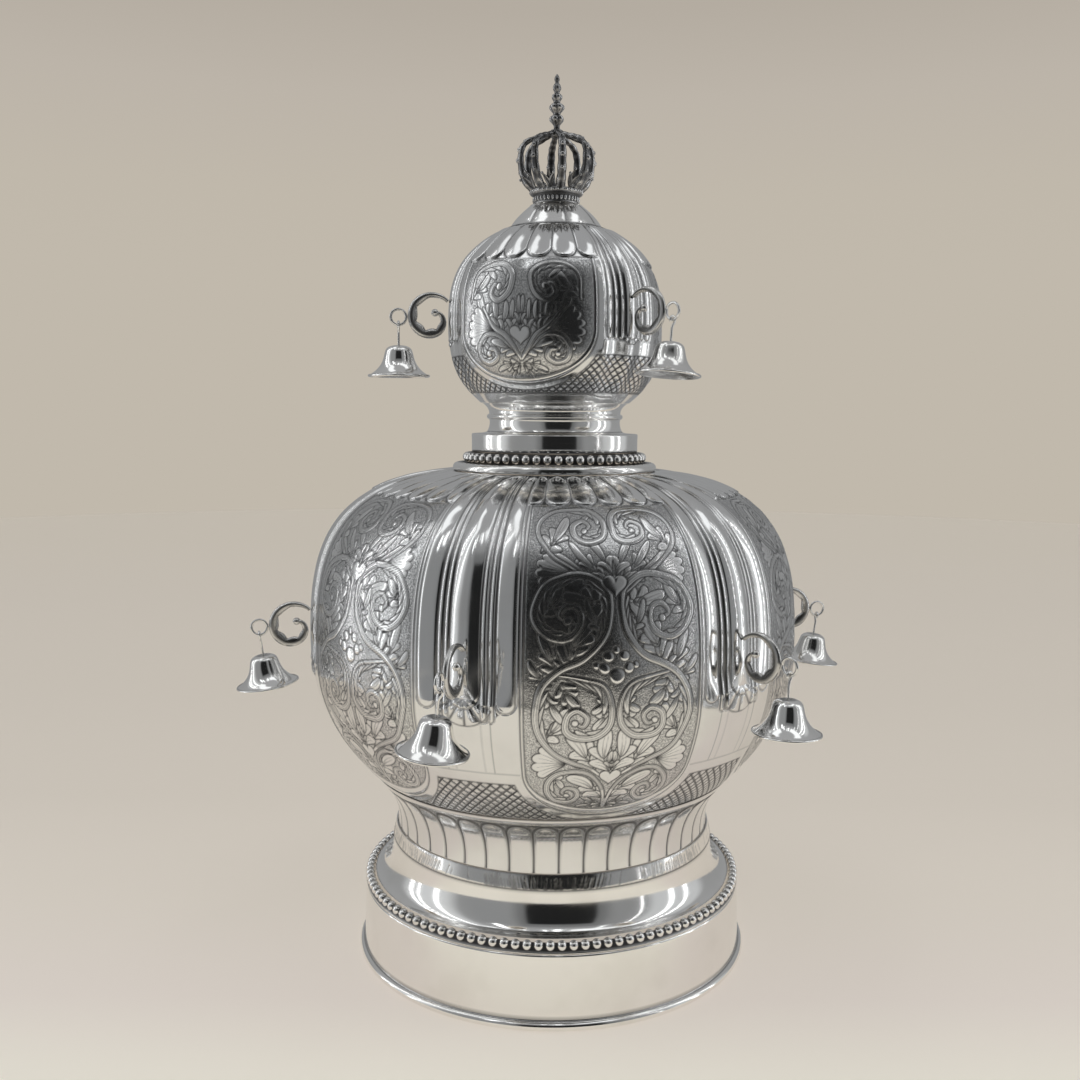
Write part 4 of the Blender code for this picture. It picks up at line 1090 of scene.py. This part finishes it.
def bell_mesh():
    """A bell. Its outline is in shares of its radius and of its height from the top down."""
    top = LOOP_RADIUS - BELL_DROP
    shape = ((0.065, 0.0), (0.20, 0.012), (0.32, 0.05), (0.405, 0.12), (0.445, 0.22), (0.475, 0.34),
             (0.51, 0.46), (0.565, 0.58), (0.65, 0.70), (0.76, 0.81), (0.88, 0.895), (0.965, 0.935))
    outer = spline([(BELL_RADIUS * wide, top - BELL_HEIGHT * down) for wide, down in shape], 2)
    lip = arc((BELL_RADIUS - 0.0006, top - BELL_HEIGHT + 0.0006), 0.0006, 1.4, -2.6, 8)
    inner = outer[::-1] - np.array((0.6 * BELL_WALL, 0.75 * BELL_WALL))
    inner[:, 0] = np.maximum(inner[:, 0], 0.00085)
    inner = inner[inner[:, 0] < BELL_RADIUS - 0.0012]
    outline = [*outer, *lip, *inner]
    oxide_and_shade = np.zeros(len(outline))
    oxide_and_shade[:3] = 0.5
    oxide_and_shade[len(outer) - 1 : len(outer) + 1] = 0.35
    oxide_and_shade[len(outer) + len(lip) :] = 0.25
    return mesh_from_grids("bell_fine", [round_grid(outline, 48, oxide_and_shade, closed_along=True, flip=True)])


def add_hangings():
    bracket, hook, bell = bracket_mesh(), hook_mesh(), bell_mesh()
    loop, outward, up = loop_mesh()
    rows = (
        ("lower", 6, bulb_radius, LOWER_LEVEL, LOWER_LEANS * 2),
        ("upper", 3, upper_radius, UPPER_HANGING_LEVEL, UPPER_LEANS),
    )
    for row, count, radius_at, level, leans in rows:
        radius = float(radius_at(np.array(level))) + LOBE_HEIGHT + GAP
        for i, (forward, sideways) in enumerate(leans):
            turn = math.radians(30 + 360 / count * i)
            spin = Matrix.Rotation(turn - math.pi / 2, 4, "Z")
            start = Matrix.Translation(around_axis(radius, turn, level)) @ spin
            spot = around_axis(radius + outward, turn, level + up - LOOP_RADIUS)
            swing = Euler((math.radians(-forward), math.radians(sideways), 0)).to_matrix().to_4x4()
            pivot = Matrix.Translation(spot) @ spin @ swing
            for part, mesh, material, slot, place in (
                ("bracket", bracket, BRACKET, "bracket_silver", start),
                ("loop", loop, WIRE, "wire_silver", start),
                ("hook", hook, WIRE, "wire_silver", pivot),
                ("bell", bell, BELL, "bell_silver", pivot),
            ):
                node = f"{row}_{i + 1}_{part}"
                add_piece(f"{node}_fine", mesh, material, node, place)


# Studio


def stage_material(name, stops, axis, glow, paper):
    """A pale surface whose tone changes slowly along one direction: glow is its own light, painted into it.

    A stop is (how far along the axis, red, green, blue), with colours as on a screen, up to 255.
    """
    material = bpy.data.materials.new(name)
    material.use_nodes = True
    g = Graph(material.node_tree)
    low, high = stops[0][0], stops[-1][0]
    spot = g.node("ShaderNodeNewGeometry").outputs["Position"]
    along = g.node("ShaderNodeVectorMath", {0: spot, 1: axis}, operation="DOT_PRODUCT").outputs["Value"]
    place = g.node("ShaderNodeMapRange", {"Value": along, "From Min": low, "From Max": high})
    ramp = g.node("ShaderNodeValToRGB", {"Fac": place.outputs["Result"]})
    elements = ramp.color_ramp.elements
    while len(elements) < len(stops):
        elements.new(0.5)
    for element, (where, *colour) in zip(elements, stops):
        element.position = (where - low) / (high - low)
        element.color = (*[((c / 255 + 0.055) / 1.055) ** 2.4 for c in colour], 1)
    colour = ramp.outputs["Color"]
    shine = g.node("ShaderNodeEmission", {"Color": colour, "Strength": glow})
    matt = g.node("ShaderNodeBsdfDiffuse", {"Color": g.mix(paper, (0, 0, 0, 1), colour)})
    both = g.node("ShaderNodeAddShader", {0: shine.outputs[0], 1: matt.outputs[0]})
    g.node("ShaderNodeOutputMaterial", {"Surface": both.outputs[0]})
    return material


def add_stage():
    """A round floor and a wall that glow with painted light: the floor lighter toward the camera, the wall
    darker upward.
    """
    ahead = (-math.sin(CAMERA_TURN), math.cos(CAMERA_TURN), 0)
    stops = ((-0.16, 221, 215, 203), (-0.117, 219, 213, 201), (-0.065, 212, 203, 194), (0.03, 207, 199, 188),
             (0.18, 198, 190, 179), (0.43, 194, 186, 175), (0.95, 191, 183, 172), (1.6, 190, 182, 170))
    floor_paper = stage_material("floor_paper", stops, ahead, 0.64, 0.82)
    stops = ((0.0, 193, 185, 172), (0.6, 193, 185, 172), (0.8, 192, 184, 171), (1.04, 188, 180, 169),
             (1.26, 180, 172, 161), (4.0, 170, 163, 152))
    wall_paper = stage_material("backdrop_paper", stops, (0, 0, 1), 1.0, 0.0)
    middle, rim = 0.64, 2.4
    made = []
    for name, outline, paper in (
        ("floor", ((0.001, 0.0), (0.3, 0.0), (middle, 0.0)), floor_paper),
        ("floor_far", ((middle, 0.0), (1.4, 0.0), (rim, 0.0)), floor_paper),
        ("backdrop", ((rim, 0.0), (rim, 1.0), (rim, 4.0)), wall_paper),
    ):
        mesh = mesh_from_grids(name, [round_grid(outline, 96)])
        mesh.materials.append(paper)
        obj = bpy.data.objects.new(name, mesh)
        bpy.context.scene.collection.objects.link(obj)
        made.append(obj)
    floor, far, backdrop = made
    far.visible_glossy = False
    backdrop.visible_glossy = False
    backdrop.visible_diffuse = False
    backdrop.visible_shadow = False


def add_room():
    """A soft grey room: lights on each side and above, strings of small lamps and a dark area in front."""
    world = bpy.data.worlds.new("room")
    bpy.context.scene.world = world
    world.use_nodes = True
    g = Graph(world.node_tree)
    direction = g.node("ShaderNodeTexCoord").outputs["Generated"]
    parts = g.node("ShaderNodeSeparateXYZ", {0: direction}).outputs
    turn = g.math("ARCTAN2", parts["X"], g.times(parts["Y"], -1.0))
    turn = g.times(g.math("SUBTRACT", turn, CAMERA_TURN), 180 / math.pi)
    tilt = g.times(g.math("ARCSINE", parts["Z"]), 180 / math.pi)

    def between(value, low, high, soft):
        over = g.step(value, high - soft, high + soft)
        return g.times(g.step(value, low - soft, low + soft), g.math("SUBTRACT", 1.0, over))

    def area(low, high, foot, top, soft):
        return g.times(between(turn, low, high, soft), between(tilt, foot, top, soft))

    light = g.mix(g.step(tilt, -5.0, 75.0), (0.295, 0.30, 0.304, 1), (0.355, 0.36, 0.368, 1))
    # from turn, to turn, from tilt, to tilt, softness of the edges, all in degrees, and brightness
    for *limits, tone in (
        (-62, 64, -30, 56, 14, 0.26),
        (-24, 38, -18, 50, 5, 0.17),
        (-17, 30, -14, 40, 1.5, 0.015),
        (-112, -68, -20, 62, 7, 0.62),
        (68, 116, -20, 50, 6, 0.55),
        (-84, -80, -30, 70, 0.8, 2.2),
        (84, 88, -30, 60, 0.8, 2.4),
        (-150, -60, 62, 76, 2, 1.1),
        (20, 120, 60, 72, 2, 1.1),
        (-47, -41, 48, 63, 1, 2.6),
        (-33, -29, 55, 69, 1, 2.6),
        (-8, -5, 62, 72, 1, 2.2),
        (3, 10, 60, 71, 1.5, 2.2),
        (42, 46, 50, 60, 1, 1.5),
    ):
        light = g.mix(area(*limits), light, (tone * 0.975, tone, tone * 1.02, 1))
    dots = g.step(g.math("SINE", g.times(tilt, 1.6)), 0.0, 0.6)
    for low, high in ((-107, -104), (-99, -97), (98, 101), (61, 62.5)):
        light = g.mix(g.times(area(low, high, -18, 58, 0.4), dots), light, (5.0, 5.0, 5.1, 1))
    sky = g.node("ShaderNodeBackground", {"Color": light, "Strength": 1.0})
    g.node("ShaderNodeOutputWorld", {"Surface": sky.outputs[0]})


def add_camera():
    data = bpy.data.cameras.new("camera")
    data.lens = CAMERA_LENS_MM
    data.sensor_width = 36.0
    data.shift_x = CAMERA_SHIFT
    data.clip_start = 0.01
    data.clip_end = 20.0
    data.dof.use_dof = False
    camera = bpy.data.objects.new("camera", data)
    bpy.context.scene.collection.objects.link(camera)
    spot = Vector(around_axis(CAMERA_DISTANCE, CAMERA_TURN, CAMERA_HEIGHT))
    facing = Matrix.Rotation(CAMERA_TURN, 4, "Z") @ Matrix.Rotation(math.pi / 2 - CAMERA_PITCH, 4, "X")
    camera.matrix_world = Matrix.Translation(spot) @ facing @ Matrix.Rotation(CAMERA_ROLL, 4, "Z")
    bpy.context.scene.camera = camera


add_bulbs()
add_base()
add_waist()
add_neck()
add_cap()
add_coronet()
add_finial()
add_hangings()
add_stage()
add_room()
add_camera()
bpy.context.scene.view_settings.view_transform = "Standard"
bpy.context.scene.view_settings.look = "None"
